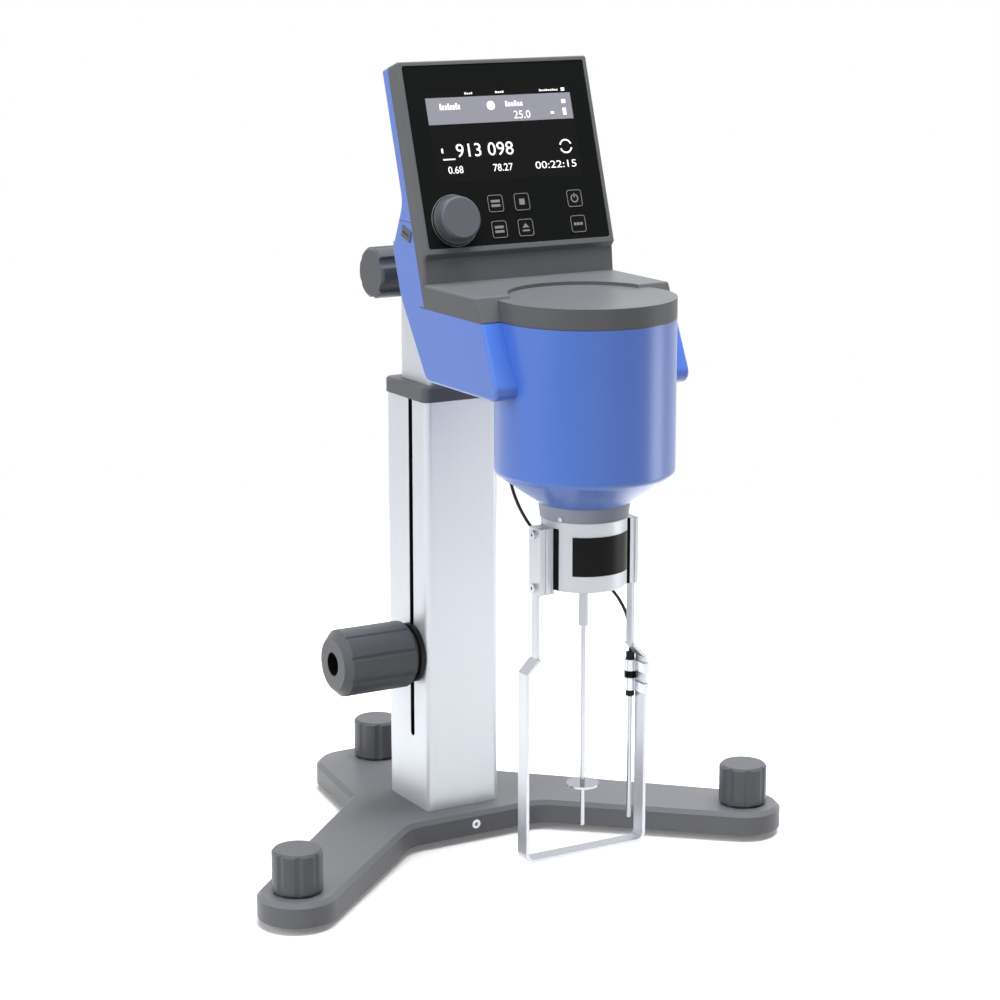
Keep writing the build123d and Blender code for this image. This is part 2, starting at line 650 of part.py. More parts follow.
# ---------------------------------------------------------------- head shells
def head_outline():
    """Side outline of the head in (y, z), from the arm's underside round the display."""
    top_y = PANEL_BOTTOM_Y + PANEL_HEIGHT * TILT_SIN
    top_z = PANEL_BOTTOM_Z + PANEL_HEIGHT * TILT_COS
    back_y = top_y + SLAB_THICKNESS * TILT_COS
    back_z = top_z - SLAB_THICKNESS * TILT_SIN
    foot_y = back_y - (back_z - SLAB_FOOT_Z) * TILT_SIN / TILT_COS
    corners = [
        ((ARM_BOTTOM_REAR_Y, ARM_BOTTOM_Z), ARM_REAR_RADIUS),
        ((ARM_FRONT_Y, ARM_BOTTOM_Z), ARM_FRONT_RADIUS),
        ((ARM_FRONT_TOP_Y, DECK_Z), 1.5),
        ((PANEL_BOTTOM_Y + RISER_SET_BACK, DECK_Z), 0.0),
        ((PANEL_BOTTOM_Y + RISER_SET_BACK + RISER_SLOPE, PANEL_BOTTOM_Z - PANEL_STEP), 0.0),
        ((PANEL_BOTTOM_Y, PANEL_BOTTOM_Z), 0.8),
        ((top_y, top_z), 1.2),
        ((back_y, back_z), 1.5),
        ((foot_y, SLAB_FOOT_Z), SLAB_FOOT_RADIUS),
        ((BULGE_Y, BULGE_Z), BULGE_RADIUS),
        ((BACK_WAIST_Y, BACK_WAIST_Z), BACK_WAIST_RADIUS),
    ]
    face = make_face(Polyline(*[place for place, _ in corners], close=True))
    for (y, z), radius in corners:
        if radius:
            face = round_corner(face, (y, z, 0), radius)
    return face


def head_form(inset):
    """The head's whole outside, or the hollow inside it when inset by the wall."""
    face = head_outline()
    if inset:
        face = offset(face, -inset, kind=Kind.INTERSECTION)
    body = extrude(Plane.YZ * face, HEAD_HALF - inset, both=True)
    bowl = [
        (0, BOWL_TOP_Z - inset), (BOWL_RADIUS - inset, BOWL_TOP_Z - inset),
        (BOWL_RADIUS - inset, BOWL_WALL_Z + inset / 2),
        (CONE_BOTTOM_RADIUS - inset, CONE_BOTTOM_Z + inset),
        (0, CONE_BOTTOM_Z + inset),
    ]
    rounds = [] if inset else [((BOWL_RADIUS, BOWL_WALL_Z), BOWL_SHOULDER_RADIUS)]
    return body, turned(bowl, (0, SPINDLE_Y), rounds)


def head_shell():
    """The closed shell of the head before it is parted into its mouldings."""
    body, bowl = head_form(0.0)
    long_edges = [e for e in body.edges() if abs(abs(e.center().X) - HEAD_HALF) < 0.01]
    body = fillet([e for e in long_edges if e.center().Y > PANEL_BOTTOM_Y - 5], SHELL_EDGE_FILLET)
    hollow_body, hollow_bowl = head_form(HEAD_WALL)
    shell = body + bowl
    dish = Pos(0, SPINDLE_Y, 0) * turned([
        (0, BOWL_TOP_Z - DISH_DEPTH), (DISH_RADIUS, BOWL_TOP_Z), (DISH_RADIUS, DECK_Z + 5), (0, DECK_Z + 5),
    ])
    shell -= dish
    return shell - (hollow_body + hollow_bowl - dish_skin(dish))


def dish_skin(dish):
    """Keeps a full wall under the dish in the cover's deck."""
    return Pos(0, 0, -HEAD_WALL) * dish


def seam_points():
    """The parting line between the grey cover and the blue shells, in (y, z)."""
    low_y = PANEL_BOTTOM_Y + BEZEL_SIDE / TILT_COS
    corner_y = low_y - (PANEL_BOTTOM_Z - SEAM_Z) * TILT_SIN / TILT_COS
    top_v = PANEL_HEIGHT - TOP_LIP
    top_y = low_y + top_v * TILT_SIN
    top_z = PANEL_BOTTOM_Z + top_v * TILT_COS
    return corner_y, top_y, top_z


def cover_region():
    """Everything on the grey cover's side of the seam."""
    corner_y, top_y, top_z = seam_points()
    rear_y = top_y + SLAB_THICKNESS
    rear_z = top_z - SLAB_THICKNESS * TILT_SIN / TILT_COS
    far_y = SPINDLE_Y - 2 * BOWL_RADIUS
    high_z = PANEL_BOTTOM_Z + 2 * PANEL_HEIGHT
    points = [
        (far_y, SEAM_Z), (corner_y, SEAM_Z), (top_y, top_z), (rear_y, rear_z), (rear_y, high_z), (far_y, high_z),
    ]
    return side_prism(points, HEAD_WIDTH)


def glass_seat():
    """Recess for the glass and the window behind it."""
    middle = GLASS_BOTTOM + GLASS_HEIGHT / 2
    recess = panel_block(
        0, middle, GLASS_WIDTH + 2 * SEAT_CLEARANCE, GLASS_HEIGHT + 2 * SEAT_CLEARANCE,
        -5, GLASS_SET_BACK + GLASS_THICKNESS + 5, GLASS_CORNER,
    )
    window = panel_block(
        0, middle, GLASS_WIDTH - 2 * GLASS_LEDGE, GLASS_HEIGHT - 2 * GLASS_LEDGE,
        0, HEAD_WALL + GLASS_THICKNESS, GLASS_CORNER,
    )
    return recess + window


def control_openings():
    """Holes through the glass for the keys and the menu knob's shaft."""
    holes = on_panel(KNOB_U, KNOB_V, 0) * Cylinder(ENCODER_SHAFT_RADIUS + KEY_CLEARANCE, 10)
    for u, v in key_places():
        size = KEY_SIZE + 2 * KEY_CLEARANCE
        holes += panel_block(u, v, size, size, -5, 10, KEY_CORNER)
    return holes


def key_places():
    """Centres of the six keys, row by row from the top."""
    return [(u, v) for v in KEY_ROWS for u in KEY_COLUMNS]


def clip_recess(side):
    """The slot in a flank that takes a cover clip."""
    inner = HEAD_HALF - HEAD_WALL
    outer = HEAD_HALF + 1
    middle = (inner + outer) / 2
    body = Box(outer - inner, COVER_CLIP_LENGTH, COVER_CLIP_WIDTH)
    return Pos(side * middle, COVER_CLIP_Y, COVER_CLIP_Z) * Rot(PANEL_TILT, 0, 0) * body


def bracket_arm_body():
    """The bracket's arm, from the clamp ring to the plate inside the head."""
    return span(
        -BRACKET_ARM_HALF, BRACKET_ARM_HALF, CHASSIS_Y, -INNER_HALF,
        BRACKET_BOTTOM_Z, BRACKET_TOP_Z,
    )


def front_cover(shell):
    return (shell & cover_region()) - glass_seat()


def blue_shells(shell):
    """The two blue mouldings behind and below the cover, parted at the back."""
    blue = shell - cover_region()
    blue -= bracket_arm_body()
    for side in (-1, 1):
        blue -= clip_recess(side)
    blue -= post(STEM_RADIUS, 0, FRAME_Z, 0, SPINDLE_Y)
    blue -= post(SOCKET_RADIUS, ARM_BOTTOM_Z - 1, ARM_BOTTOM_Z + HEAD_WALL + 1, PLUG_X, PLUG_Y)
    reach = 4 * HEAD_WIDTH
    upper = span(-reach, reach, -reach, reach, BACK_SEAM_Z, reach * 2)
    lower = blue - upper
    return lower, blue & upper


def cover_clips():
    """Grey latch tabs in both flanks, each with a slot."""
    clips = []
    for side in (-1, 1):
        depth = HEAD_WALL + COVER_CLIP_PROUD
        middle = side * (HEAD_HALF - HEAD_WALL + depth / 2)
        place = Pos(middle, COVER_CLIP_Y, COVER_CLIP_Z) * Rot(PANEL_TILT, 0, 0)
        tab = place * Box(depth, COVER_CLIP_LENGTH, COVER_CLIP_WIDTH)
        slot = Box(depth / 2, COVER_CLIP_LENGTH * 0.6, COVER_CLIP_SLOT)
        clips.append(tab - place * Pos(side * depth / 2, 0, 0) * slot)
    return clips


def chassis_plate():
    """Steel plate across the inside of the head that the bracket's arm bolts to."""
    half = HEAD_HALF - HEAD_WALL
    front = CHASSIS_Y - CHASSIS_THICKNESS
    plate = span(-half, half, front, CHASSIS_Y, CHASSIS_BOTTOM_Z, CHASSIS_TOP_Z)
    for x, z in head_screw_places():
        plate -= screw_along_y(x, z, SEAT_CLEARANCE)
    hollow, _ = head_form(HEAD_WALL)
    return plate & hollow


def head_screw_places():
    """Four screws through the chassis plate into the bracket's arm."""
    middle = (BRACKET_BOTTOM_Z + BRACKET_TOP_Z) / 2
    half = HEAD_SCREW_SPACING / 2
    return [(x, middle + z) for x in (-half, half) for z in (-half / 2, half / 2)]


def screw_along_y(x, z, extra=0.0):
    """A socket screw along +Y whose head bears on the chassis plate's front."""
    front = CHASSIS_Y - CHASSIS_THICKNESS
    length = CHASSIS_THICKNESS + HEAD_SCREW_GRIP
    shank = Pos(x, front + length / 2, z) * Rot(90, 0, 0) * Cylinder(HEAD_SCREW_RADIUS + extra, length)
    place = Pos(x, front - HEAD_SCREW_HEIGHT / 2, z) * Rot(90, 0, 0)
    head = place * Cylinder(HEAD_SCREW_HEAD + extra, HEAD_SCREW_HEIGHT)
    return shank + head


def head_screws():
    return [screw_along_y(x, z) for x, z in head_screw_places()]


# ---------------------------------------------------------------- display and controls
def glass_panel():
    middle = GLASS_BOTTOM + GLASS_HEIGHT / 2
    glass = panel_block(
        0, middle, GLASS_WIDTH, GLASS_HEIGHT, GLASS_SET_BACK, GLASS_THICKNESS, GLASS_CORNER,
    )
    return glass - control_openings()


def display_module():
    """Screen in its frame, between the glass and the control board."""
    front = GLASS_SET_BACK + GLASS_THICKNESS
    middle = SCREEN_BOTTOM + SCREEN_HEIGHT / 2
    width = SCREEN_WIDTH + 2 * SCREEN_FRAME
    height = SCREEN_HEIGHT + 2 * SCREEN_FRAME
    return panel_block(0, middle, width, height, front, BOARD_DEPTH - front)


def control_board():
    """Board behind the display, with a switch block behind each key and the encoder's body."""
    middle = (BOARD_BOTTOM + BOARD_TOP) / 2
    board = panel_block(0, middle, BOARD_WIDTH, BOARD_TOP - BOARD_BOTTOM, BOARD_DEPTH, BOARD_THICKNESS)
    for u, v in key_places():
        board += panel_block(u, v, SWITCH_SIZE, SWITCH_SIZE, BOARD_DEPTH - SWITCH_HEIGHT, SWITCH_HEIGHT)
    return board + encoder_body()


def board_pillars():
    """Spacers from the back shell to the control board."""
    pillars = []
    back = SLAB_THICKNESS - HEAD_WALL
    front = BOARD_DEPTH + BOARD_THICKNESS
    for u in (-PILLAR_U, PILLAR_U):
        for v in PILLAR_ROWS:
            pillars.append(panel_post(u, v, PILLAR_RADIUS, front, back - front))
    return pillars


def key(u, v):
    """Push key: cap, hidden flange behind the glass and stem to its switch."""
    front = GLASS_SET_BACK - KEY_PROUD
    flange_front = GLASS_SET_BACK + GLASS_THICKNESS + KEY_FLANGE_GAP
    stem_end = BOARD_DEPTH - SWITCH_HEIGHT - KEY_GAP
    cap = panel_block(u, v, KEY_SIZE, KEY_SIZE, front, flange_front - front, KEY_CORNER)
    flange_size = KEY_SIZE + 2 * KEY_FLANGE_RIM
    cap += panel_block(u, v, flange_size, flange_size, flange_front, KEY_FLANGE, KEY_CORNER)
    rear = flange_front + KEY_FLANGE
    return cap + panel_post(u, v, KEY_STEM_RADIUS, rear, stem_end - rear)


def encoder_body():
    """Block on the board, bored for the menu knob's shaft, with room for the plunger."""
    body = panel_block(
        KNOB_U, KNOB_V, ENCODER_SIZE, ENCODER_SIZE, BOARD_DEPTH - ENCODER_HEIGHT, ENCODER_HEIGHT,
    )
    body -= on_panel(KNOB_U, KNOB_V, 0) * Cylinder(ENCODER_SHAFT_RADIUS + RUNNING_CLEARANCE, 12)
    chamber = PLUNGER_HEIGHT + ENCODER_TRAVEL + PLUNGER_GAP
    bottom = BOARD_DEPTH - ENCODER_FLOOR
    return body - panel_post(
        KNOB_U, KNOB_V, PLUNGER_RADIUS + RUNNING_CLEARANCE, bottom - chamber, chamber,
    )


def plunger_depth():
    """Front face of the plunger at rest, behind the panel's front."""
    return BOARD_DEPTH - ENCODER_FLOOR - PLUNGER_GAP / 2 - ENCODER_TRAVEL - PLUNGER_HEIGHT


def encoder_plunger():
    return panel_post(KNOB_U, KNOB_V, PLUNGER_RADIUS, plunger_depth(), PLUNGER_HEIGHT)


def menu_knob_front():
    """Front face of the menu knob, ahead of the panel's front."""
    return MENU_KNOB_GAP - GLASS_SET_BACK + MENU_KNOB_HEIGHT


def encoder_shaft():
    front = -(menu_knob_front() - MENU_KNOB_CROWN - 1)
    return panel_post(KNOB_U, KNOB_V, ENCODER_SHAFT_RADIUS, front, plunger_depth() - front)


def menu_knob():
    base = MENU_KNOB_GAP - GLASS_SET_BACK
    top = menu_knob_front()
    knob = turned([
        (0, base), (MENU_FLANGE_RADIUS, base), (MENU_FLANGE_RADIUS, base + MENU_FLANGE),
        (MENU_KNOB_RADIUS, base + MENU_FLANGE), (MENU_KNOB_RADIUS, top - MENU_KNOB_CROWN),
        (MENU_KNOB_RADIUS - MENU_KNOB_CROWN, top), (0, top),
    ])
    knob -= post(ENCODER_SHAFT_RADIUS, 0, top - MENU_KNOB_CROWN - 1)
    return on_panel(KNOB_U, KNOB_V, 0) * knob


# ---------------------------------------------------------------- drive
def drive_frame():
    """Plate on the bowl's shoulder with three posts for the motor."""
    radius = BOWL_RADIUS - HEAD_WALL
    frame = turned([
        (STEM_RADIUS / 2, FRAME_Z), (radius, FRAME_Z), (radius, FRAME_Z + FRAME_PLATE),
        (STEM_RADIUS / 2, FRAME_Z + FRAME_PLATE),
    ], (0, SPINDLE_Y))
    for angle in (90, 210, 330):
        x = FRAME_POST_CIRCLE * cos(radians(angle))
        y = SPINDLE_Y + FRAME_POST_CIRCLE * sin(radians(angle))
        frame += post(FRAME_POST_RADIUS, FRAME_Z, FRAME_Z + FRAME_PLATE + FRAME_HEIGHT, x, y)
    return frame + motor_plate()


def motor_plate():
    """The plate on the frame's posts that carries the motor."""
    bottom = MOTOR_Z - FRAME_PLATE
    outer = FRAME_POST_CIRCLE + FRAME_POST_RADIUS + FRAME_PLATE_RIM
    plate = post(outer, bottom, MOTOR_Z, 0, SPINDLE_Y)
    return plate - post(MOTOR_PILOT_RADIUS, bottom - 1, MOTOR_Z + 1, 0, SPINDLE_Y)


def drive_motor():
    body = Pos(0, SPINDLE_Y, 0) * square_bar(MOTOR_SIZE / 2, MOTOR_CORNER, MOTOR_Z, MOTOR_Z + MOTOR_LENGTH)
    return body - post(MOTOR_SHAFT_RADIUS + RUNNING_CLEARANCE, 0, MOTOR_Z + MOTOR_SHAFT_IN, 0, SPINDLE_Y)


def drive_hub():
    """Cup on the motor's shaft that carries the outer end of the torque spring."""
    bottom = HUB_TOP_Z - HUB_HEIGHT
    inside = HUB_RADIUS - HUB_WALL
    return turned([
        (HUB_RADIUS, bottom), (HUB_RADIUS, HUB_TOP_Z),
        (MOTOR_SHAFT_RADIUS, HUB_TOP_Z), (MOTOR_SHAFT_RADIUS, MOTOR_Z + MOTOR_SHAFT_IN - 1),
        (0, MOTOR_Z + MOTOR_SHAFT_IN - 1), (0, HUB_TOP_Z - HUB_WALL), (inside, HUB_TOP_Z - HUB_WALL),
        (inside, bottom),
    ], (0, SPINDLE_Y))


def shaft_top():
    """Top of the measuring shaft, just under the hub's web."""
    return HUB_TOP_Z - HUB_WALL - 2 * SPRING_CLEARANCE


def torque_spring():
    """Flat spiral spring between the measuring shaft and the drive hub."""
    inner = MEASURING_SHAFT_RADIUS
    outer = HUB_RADIUS - HUB_WALL - SPRING_CLEARANCE
    steps = int(SPRING_TURNS * 360 / SPRING_STEP)
    growth = (outer - inner - SPRING_STRIP) / steps
    rim = [(inner + growth * i + SPRING_STRIP, i * SPRING_STEP) for i in range(steps + 1)]
    bore = [(inner + growth * i, i * SPRING_STEP) for i in range(steps + 1)]
    places = [(r * cos(radians(a)), r * sin(radians(a))) for r, a in rim + bore[::-1]]
    strip = make_face(Polyline(*places, close=True)) - Circle(inner)
    top = shaft_top() - SPRING_CLEARANCE
    return Pos(0, SPINDLE_Y, top - SPRING_HEIGHT) * extrude(strip, SPRING_HEIGHT)


def bearing_floors():
    """Undersides of the two ball bearings."""
    return (HOUSING_BOTTOM_Z + BEARING_RECESS, HOUSING_TOP_Z - BEARING_WIDTH)


def ball_bearings():
    rings = []
    for floor in bearing_floors():
        ring = post(BEARING_RADIUS, floor, floor + BEARING_WIDTH, 0, SPINDLE_Y)
        rings.append(ring - post(MEASURING_SHAFT_RADIUS + RUNNING_CLEARANCE, 0, HOUSING_TOP_Z + 1, 0, SPINDLE_Y))
    return rings


def bearing_housing():
    """Turned sleeve under the neck, with a stem up into the head."""
    housing = post(HOUSING_RADIUS, HOUSING_BOTTOM_Z, NECK_BOTTOM_Z, 0, SPINDLE_Y)
    housing = chamfer(housing.edges().filter_by(GeomType.CIRCLE).sort_by(Axis.Z)[0], HOUSING_CHAMFER)
    housing += post(STEM_RADIUS, NECK_BOTTOM_Z, HOUSING_TOP_Z, 0, SPINDLE_Y)
    housing -= post(SHAFT_BORE_RADIUS, 0, HOUSING_TOP_Z + 1, 0, SPINDLE_Y)
    for floor in bearing_floors():
        housing -= post(BEARING_RADIUS, floor, floor + BEARING_WIDTH, 0, SPINDLE_Y)
    for place in guard_screw_places():
        housing -= guard_screw_body(*place, SEAT_CLEARANCE)
    return housing - neck_screw_body(SEAT_CLEARANCE)


def neck_ring():
    """Grey ring between the blue cone and the bearing housing."""
    ring = turned([
        (STEM_RADIUS, NECK_BOTTOM_Z), (NECK_RADIUS, NECK_BOTTOM_Z),
        (NECK_RADIUS, NECK_BOTTOM_Z + NECK_BAND), (CONE_BOTTOM_RADIUS, CONE_BOTTOM_Z),
        (STEM_RADIUS, CONE_BOTTOM_Z),
    ], (0, SPINDLE_Y))
    return ring - neck_screw_body(SEAT_CLEARANCE)


def neck_screw_body(extra=0.0):
    """Set screw in the neck, square to the spindle's axis."""
    place = Pos(0, SPINDLE_Y, NECK_SCREW_Z) * Rot(0, 0, NECK_SCREW_ANGLE) * Rot(0, 90, 0)
    length = NECK_RADIUS + NECK_SCREW_PROUD - NECK_SCREW_INNER
    return place * Pos(0, 0, NECK_SCREW_INNER + length / 2) * Cylinder(NECK_SCREW_RADIUS + extra, length)


def label_plate():
    """Blank black plate round the front of the housing."""
    inner = HOUSING_RADIUS + LABEL_SEAT
    ring = post(inner + LABEL_THICKNESS, LABEL_BOTTOM_Z, LABEL_TOP_Z, 0, SPINDLE_Y)
    ring -= post(inner, LABEL_BOTTOM_Z - 1, LABEL_TOP_Z + 1, 0, SPINDLE_Y)
    reach = 2 * HOUSING_RADIUS
    wedge = [(0, 0)]
    for angle in (-LABEL_HALF_ANGLE, 0, LABEL_HALF_ANGLE):
        wedge.append((reach * sin(radians(angle)), -reach * cos(radians(angle))))
    sector = extrude(make_face(Polyline(*wedge, close=True)), LABEL_TOP_Z - LABEL_BOTTOM_Z)
    return ring & Pos(0, SPINDLE_Y, LABEL_BOTTOM_Z) * sector


# ---------------------------------------------------------------- spindle and guard
def measuring_shaft():
    """Shaft through the bearings with the threaded coupling under them."""
    shaft = post(MEASURING_SHAFT_RADIUS, MEASURING_SHAFT_BOTTOM_Z, shaft_top(), 0, SPINDLE_Y)
    return shaft - post(SPINDLE_ROD_RADIUS, 0, MEASURING_SHAFT_BOTTOM_Z + SPINDLE_SCREW_IN, 0, SPINDLE_Y)


def spindle():
    """Removable disc spindle, screwed up into the measuring shaft."""
    top = MEASURING_SHAFT_BOTTOM_Z + SPINDLE_SCREW_IN
    half = SPINDLE_DISC_THICKNESS / 2
    return turned([
        (0, SPINDLE_TIP_Z), (SPINDLE_ROD_RADIUS, SPINDLE_TIP_Z + 1),
        (SPINDLE_ROD_RADIUS, SPINDLE_DISC_Z - half), (SPINDLE_DISC_RADIUS, SPINDLE_DISC_Z - half),
        (SPINDLE_DISC_RADIUS, SPINDLE_DISC_Z + half), (SPINDLE_ROD_RADIUS, SPINDLE_DISC_Z + half),
        (SPINDLE_ROD_RADIUS, top), (0, top),
    ], (0, SPINDLE_Y))


def guard_line(inset):
    """The guard's outline in (x, z), its outside moved inwards by the inset."""
    slope = inset * 0.4
    right = [
        (GUARD_TOP_HALF - inset, GUARD_TOP_Z), (GUARD_TOP_HALF - inset, GUARD_JOG_TOP_Z - slope),
        (GUARD_HALF - inset, GUARD_JOG_BOTTOM_Z - slope), (GUARD_HALF - inset, GUARD_BOTTOM_Z + inset),
    ]
    return [(-x, z) for x, z in right] + right[::-1]


def guard_frame():
    """U-shaped guard bent from flat strip, open at the top."""
    outside = make_face(Polyline(*guard_line(0), close=True))
    inside = make_face(Polyline(*guard_line(GUARD_STRIP), close=True))
    for side in (-1, 1):
        outside = round_corner(outside, (side * GUARD_HALF, GUARD_BOTTOM_Z, 0), GUARD_CORNER)
        inner = (side * (GUARD_HALF - GUARD_STRIP), GUARD_BOTTOM_Z + GUARD_STRIP, 0)
        inside = round_corner(inside, inner, GUARD_CORNER - GUARD_STRIP)
    face = Plane.XZ * (outside - inside)
    strip = Pos(0, SPINDLE_Y, 0) * extrude(face, GUARD_WIDTH / 2, both=True)
    for side in (-1, 1):
        near = SPINDLE_Y + side * GUARD_UPPER_WIDTH / 2
        far = SPINDLE_Y + side * GUARD_WIDTH
        strip -= span(
            -GUARD_HALF, GUARD_HALF, min(near, far), max(near, far), GUARD_JOG_TOP_Z, GUARD_TOP_Z + 1,
        )
    for place in guard_screw_places():
        strip -= guard_screw_body(*place, SEAT_CLEARANCE)
    return strip


def guard_blocks():
    """Ribbed clamp blocks on the bearing housing, each with a channel for a guard leg."""
    blocks = []
    outer = GUARD_TOP_HALF
    groove_half = GUARD_UPPER_WIDTH / 2
    half = BLOCK_WIDTH / 2
    front = SPINDLE_Y - half
    rib = (outer - BLOCK_INNER_X) / BLOCK_RIBS
    for side in (-1, 1):
        inner = side * (BLOCK_INNER_X - BLOCK_WRAP)
        x0, x1 = sorted((inner, side * outer))
        block = span(x0, x1, front, SPINDLE_Y + half, BLOCK_BOTTOM_Z, BLOCK_TOP_Z)
        for step in (1, 3):
            groove = side * (outer - (step + 0.5) * rib)
            block -= span(
                groove - rib / 2, groove + rib / 2, front - 1, front + BLOCK_GROOVE, 0, BLOCK_TOP_Z + 1,
            )
        block -= post(HOUSING_RADIUS, 0, BLOCK_TOP_Z + 1, 0, SPINDLE_Y)
        x0, x1 = sorted((side * (outer - GUARD_STRIP), side * (outer + 1)))
        block -= span(x0, x1, SPINDLE_Y - groove_half, SPINDLE_Y + groove_half, 0, GUARD_TOP_Z)
        for place in guard_screw_places():
            block -= guard_screw_body(*place, SEAT_CLEARANCE)
        blocks.append(block)
    return blocks


def guard_screw_places():
    """Side and height of each screw that holds the guard."""
    heights = (BLOCK_TOP_Z - SCREW_INSET_Z, BLOCK_BOTTOM_Z + SCREW_INSET_Z)
    return [(side, z) for side in (-1, 1) for z in heights]


def guard_screw_body(side, z, extra=0.0):
    """One screw through a guard leg and its block into the housing."""
    x = side * GUARD_TOP_HALF
    shank = rod_x(SCREW_RADIUS + extra, x - side * SCREW_LENGTH, x, SPINDLE_Y, z)
    return shank + rod_x(SCREW_HEAD_RADIUS, x, x + side * SCREW_HEAD_HEIGHT, SPINDLE_Y, z)


def guard_screws():
    screws = []
    for side, z in guard_screw_places():
        face = side * (GUARD_TOP_HALF + SCREW_HEAD_HEIGHT)
        key = Pos(face, SPINDLE_Y, z) * Rot(0, -90 * side, 0) * extrude(RegularPolygon(SCREW_KEY_RADIUS, 6), 1.2)
        screws.append(guard_screw_body(side, z) - key)
    return screws


# ---------------------------------------------------------------- temperature sensor
def sensor_probe():
    """Steel probe from its tip up into the grip."""
    return turned([
        (0, PROBE_TIP_Z), (PROBE_RADIUS * 0.5, PROBE_TIP_Z), (PROBE_RADIUS, PROBE_TIP_Z + 1),
        (PROBE_RADIUS, GRIP_BOTTOM_Z), (0, GRIP_BOTTOM_Z),
    ], (PROBE_X, PROBE_Y))


def sensor_grip():
    return post(GRIP_RADIUS, GRIP_BOTTOM_Z, GRIP_TOP_Z, PROBE_X, PROBE_Y)


def sensor_clip():
    """Bright spring clip that holds the grip against the guard's leg."""
    wall = SENSOR_CLIP_WALL
    leg_outer = GUARD_HALF
    leg_inner = leg_outer - GUARD_STRIP
    half = GUARD_WIDTH / 2
    low = SENSOR_CLIP_BOTTOM_Z
    high = SENSOR_CLIP_TOP_Z
    around_leg = span(
        leg_inner - wall, leg_outer + wall, SPINDLE_Y - half - wall, SPINDLE_Y + half + wall, low, high,
    )
    clip = around_leg + post(GRIP_RADIUS + wall, low, high, PROBE_X, PROBE_Y)
    clip -= post(GRIP_RADIUS, low - 1, high + 1, PROBE_X, PROBE_Y)
    clip -= span(leg_inner, leg_outer, SPINDLE_Y - half, SPINDLE_Y + half, low - 1, high + 1)
    gap_low = low + SENSOR_CLIP_BAND
    gap_high = high - SENSOR_CLIP_BAND
    window = span(
        leg_inner - 2 * wall, leg_outer + 2 * wall, SPINDLE_Y - half - 2 * wall, SPINDLE_Y + half - wall,
        gap_low, gap_high,
    )
    return clip - window


def lead_radii(route):
    """Bend radius at each inner point of a route, from its shorter neighbouring run."""
    radii = []
    for before, here, after in zip(route, route[1:], route[2:]):
        first = Vector(*here) - Vector(*before)
        second = Vector(*after) - Vector(*here)
        half_turn = radians(first.get_angle(second)) / 2
        shorter = min(first.length, second.length)
        radii.append(LEAD_BEND_SHARE * shorter / tan(half_turn))
    return radii


def sensor_lead():
    radii = lead_radii(LEAD_ROUTE)
    print("lead bend radii", [round(radius, 1) for radius in radii])
    path = FilletPolyline(*LEAD_ROUTE, radius=radii)
    print("lead length", round(path.length, 1))
    start = Vector(*LEAD_ROUTE[0])
    heading = Vector(*LEAD_ROUTE[1]) - start
    section = Plane(origin=start, z_dir=heading) * Circle(LEAD_DIAMETER / 2)
    return sweep(section, path=path)


def sensor_socket():
    """Round socket through the arm's floor with a flange outside."""
    socket = post(SOCKET_RADIUS, ARM_BOTTOM_Z, ARM_BOTTOM_Z + SOCKET_DEPTH, PLUG_X, PLUG_Y)
    socket += post(SOCKET_FLANGE_RADIUS, ARM_BOTTOM_Z - SOCKET_FLANGE, ARM_BOTTOM_Z, PLUG_X, PLUG_Y)
    return socket - post(PLUG_PIN_RADIUS, 0, ARM_BOTTOM_Z + SOCKET_DEPTH / 2, PLUG_X, PLUG_Y)


def sensor_plug():
    top = ARM_BOTTOM_Z - SOCKET_FLANGE
    plug = post(PLUG_RADIUS, top - PLUG_LENGTH, top, PLUG_X, PLUG_Y)
    return plug + post(PLUG_PIN_RADIUS, top, ARM_BOTTOM_Z + SOCKET_DEPTH / 2 - 1, PLUG_X, PLUG_Y)


# ---------------------------------------------------------------- head clamp
def head_bracket():
    """Cast bracket: a ring round the inner column and an arm into the head."""
    bracket = square_bar(BRACKET_HALF, BRACKET_CORNER, BRACKET_BOTTOM_Z, BRACKET_TOP_Z)
    bracket += bracket_arm_body()
    bore_top = INNER_TOP_Z + SEAT_CLEARANCE
    bracket -= square_bar(INNER_HALF, INNER_CORNER, 0, bore_top)
    bracket -= rod_x(CLAMP_STUD_RADIUS + STUD_CLEARANCE, -2 * BRACKET_HALF, 0, 0, CLAMP_Z)
    pad_room = CLAMP_PAD_THICKNESS + SEAT_CLEARANCE + CLAMP_TRAVEL
    pocket_x = -(INNER_HALF + pad_room)
    bracket -= span(
        pocket_x, 0, -CLAMP_PAD_HALF - SEAT_CLEARANCE, CLAMP_PAD_HALF + SEAT_CLEARANCE,
        CLAMP_Z - CLAMP_PAD_HALF - SEAT_CLEARANCE, CLAMP_Z + CLAMP_PAD_HALF + SEAT_CLEARANCE,
    )
    for x, z in head_screw_places():
        bracket -= Pos(0, DRILL_RELIEF, 0) * screw_along_y(x, z, SEAT_CLEARANCE)
    return bracket


def clamp_pad():
    """Pad that the clamp screw presses on the inner column."""
    inner = -(INNER_HALF + SEAT_CLEARANCE)
    return span(
        inner - CLAMP_PAD_THICKNESS, inner, -CLAMP_PAD_HALF, CLAMP_PAD_HALF,
        CLAMP_Z - CLAMP_PAD_HALF, CLAMP_Z + CLAMP_PAD_HALF,
    )


def clamp_stud():
    """The part of the clamp screw between its knob and the pad."""
    inner = -(INNER_HALF + SEAT_CLEARANCE + CLAMP_PAD_THICKNESS + STUD_CLEARANCE)
    return rod_x(CLAMP_STUD_RADIUS, CLAMP_KNOB_INNER_X - CLAMP_KNOB_CHAMFER, inner, 0, CLAMP_Z)


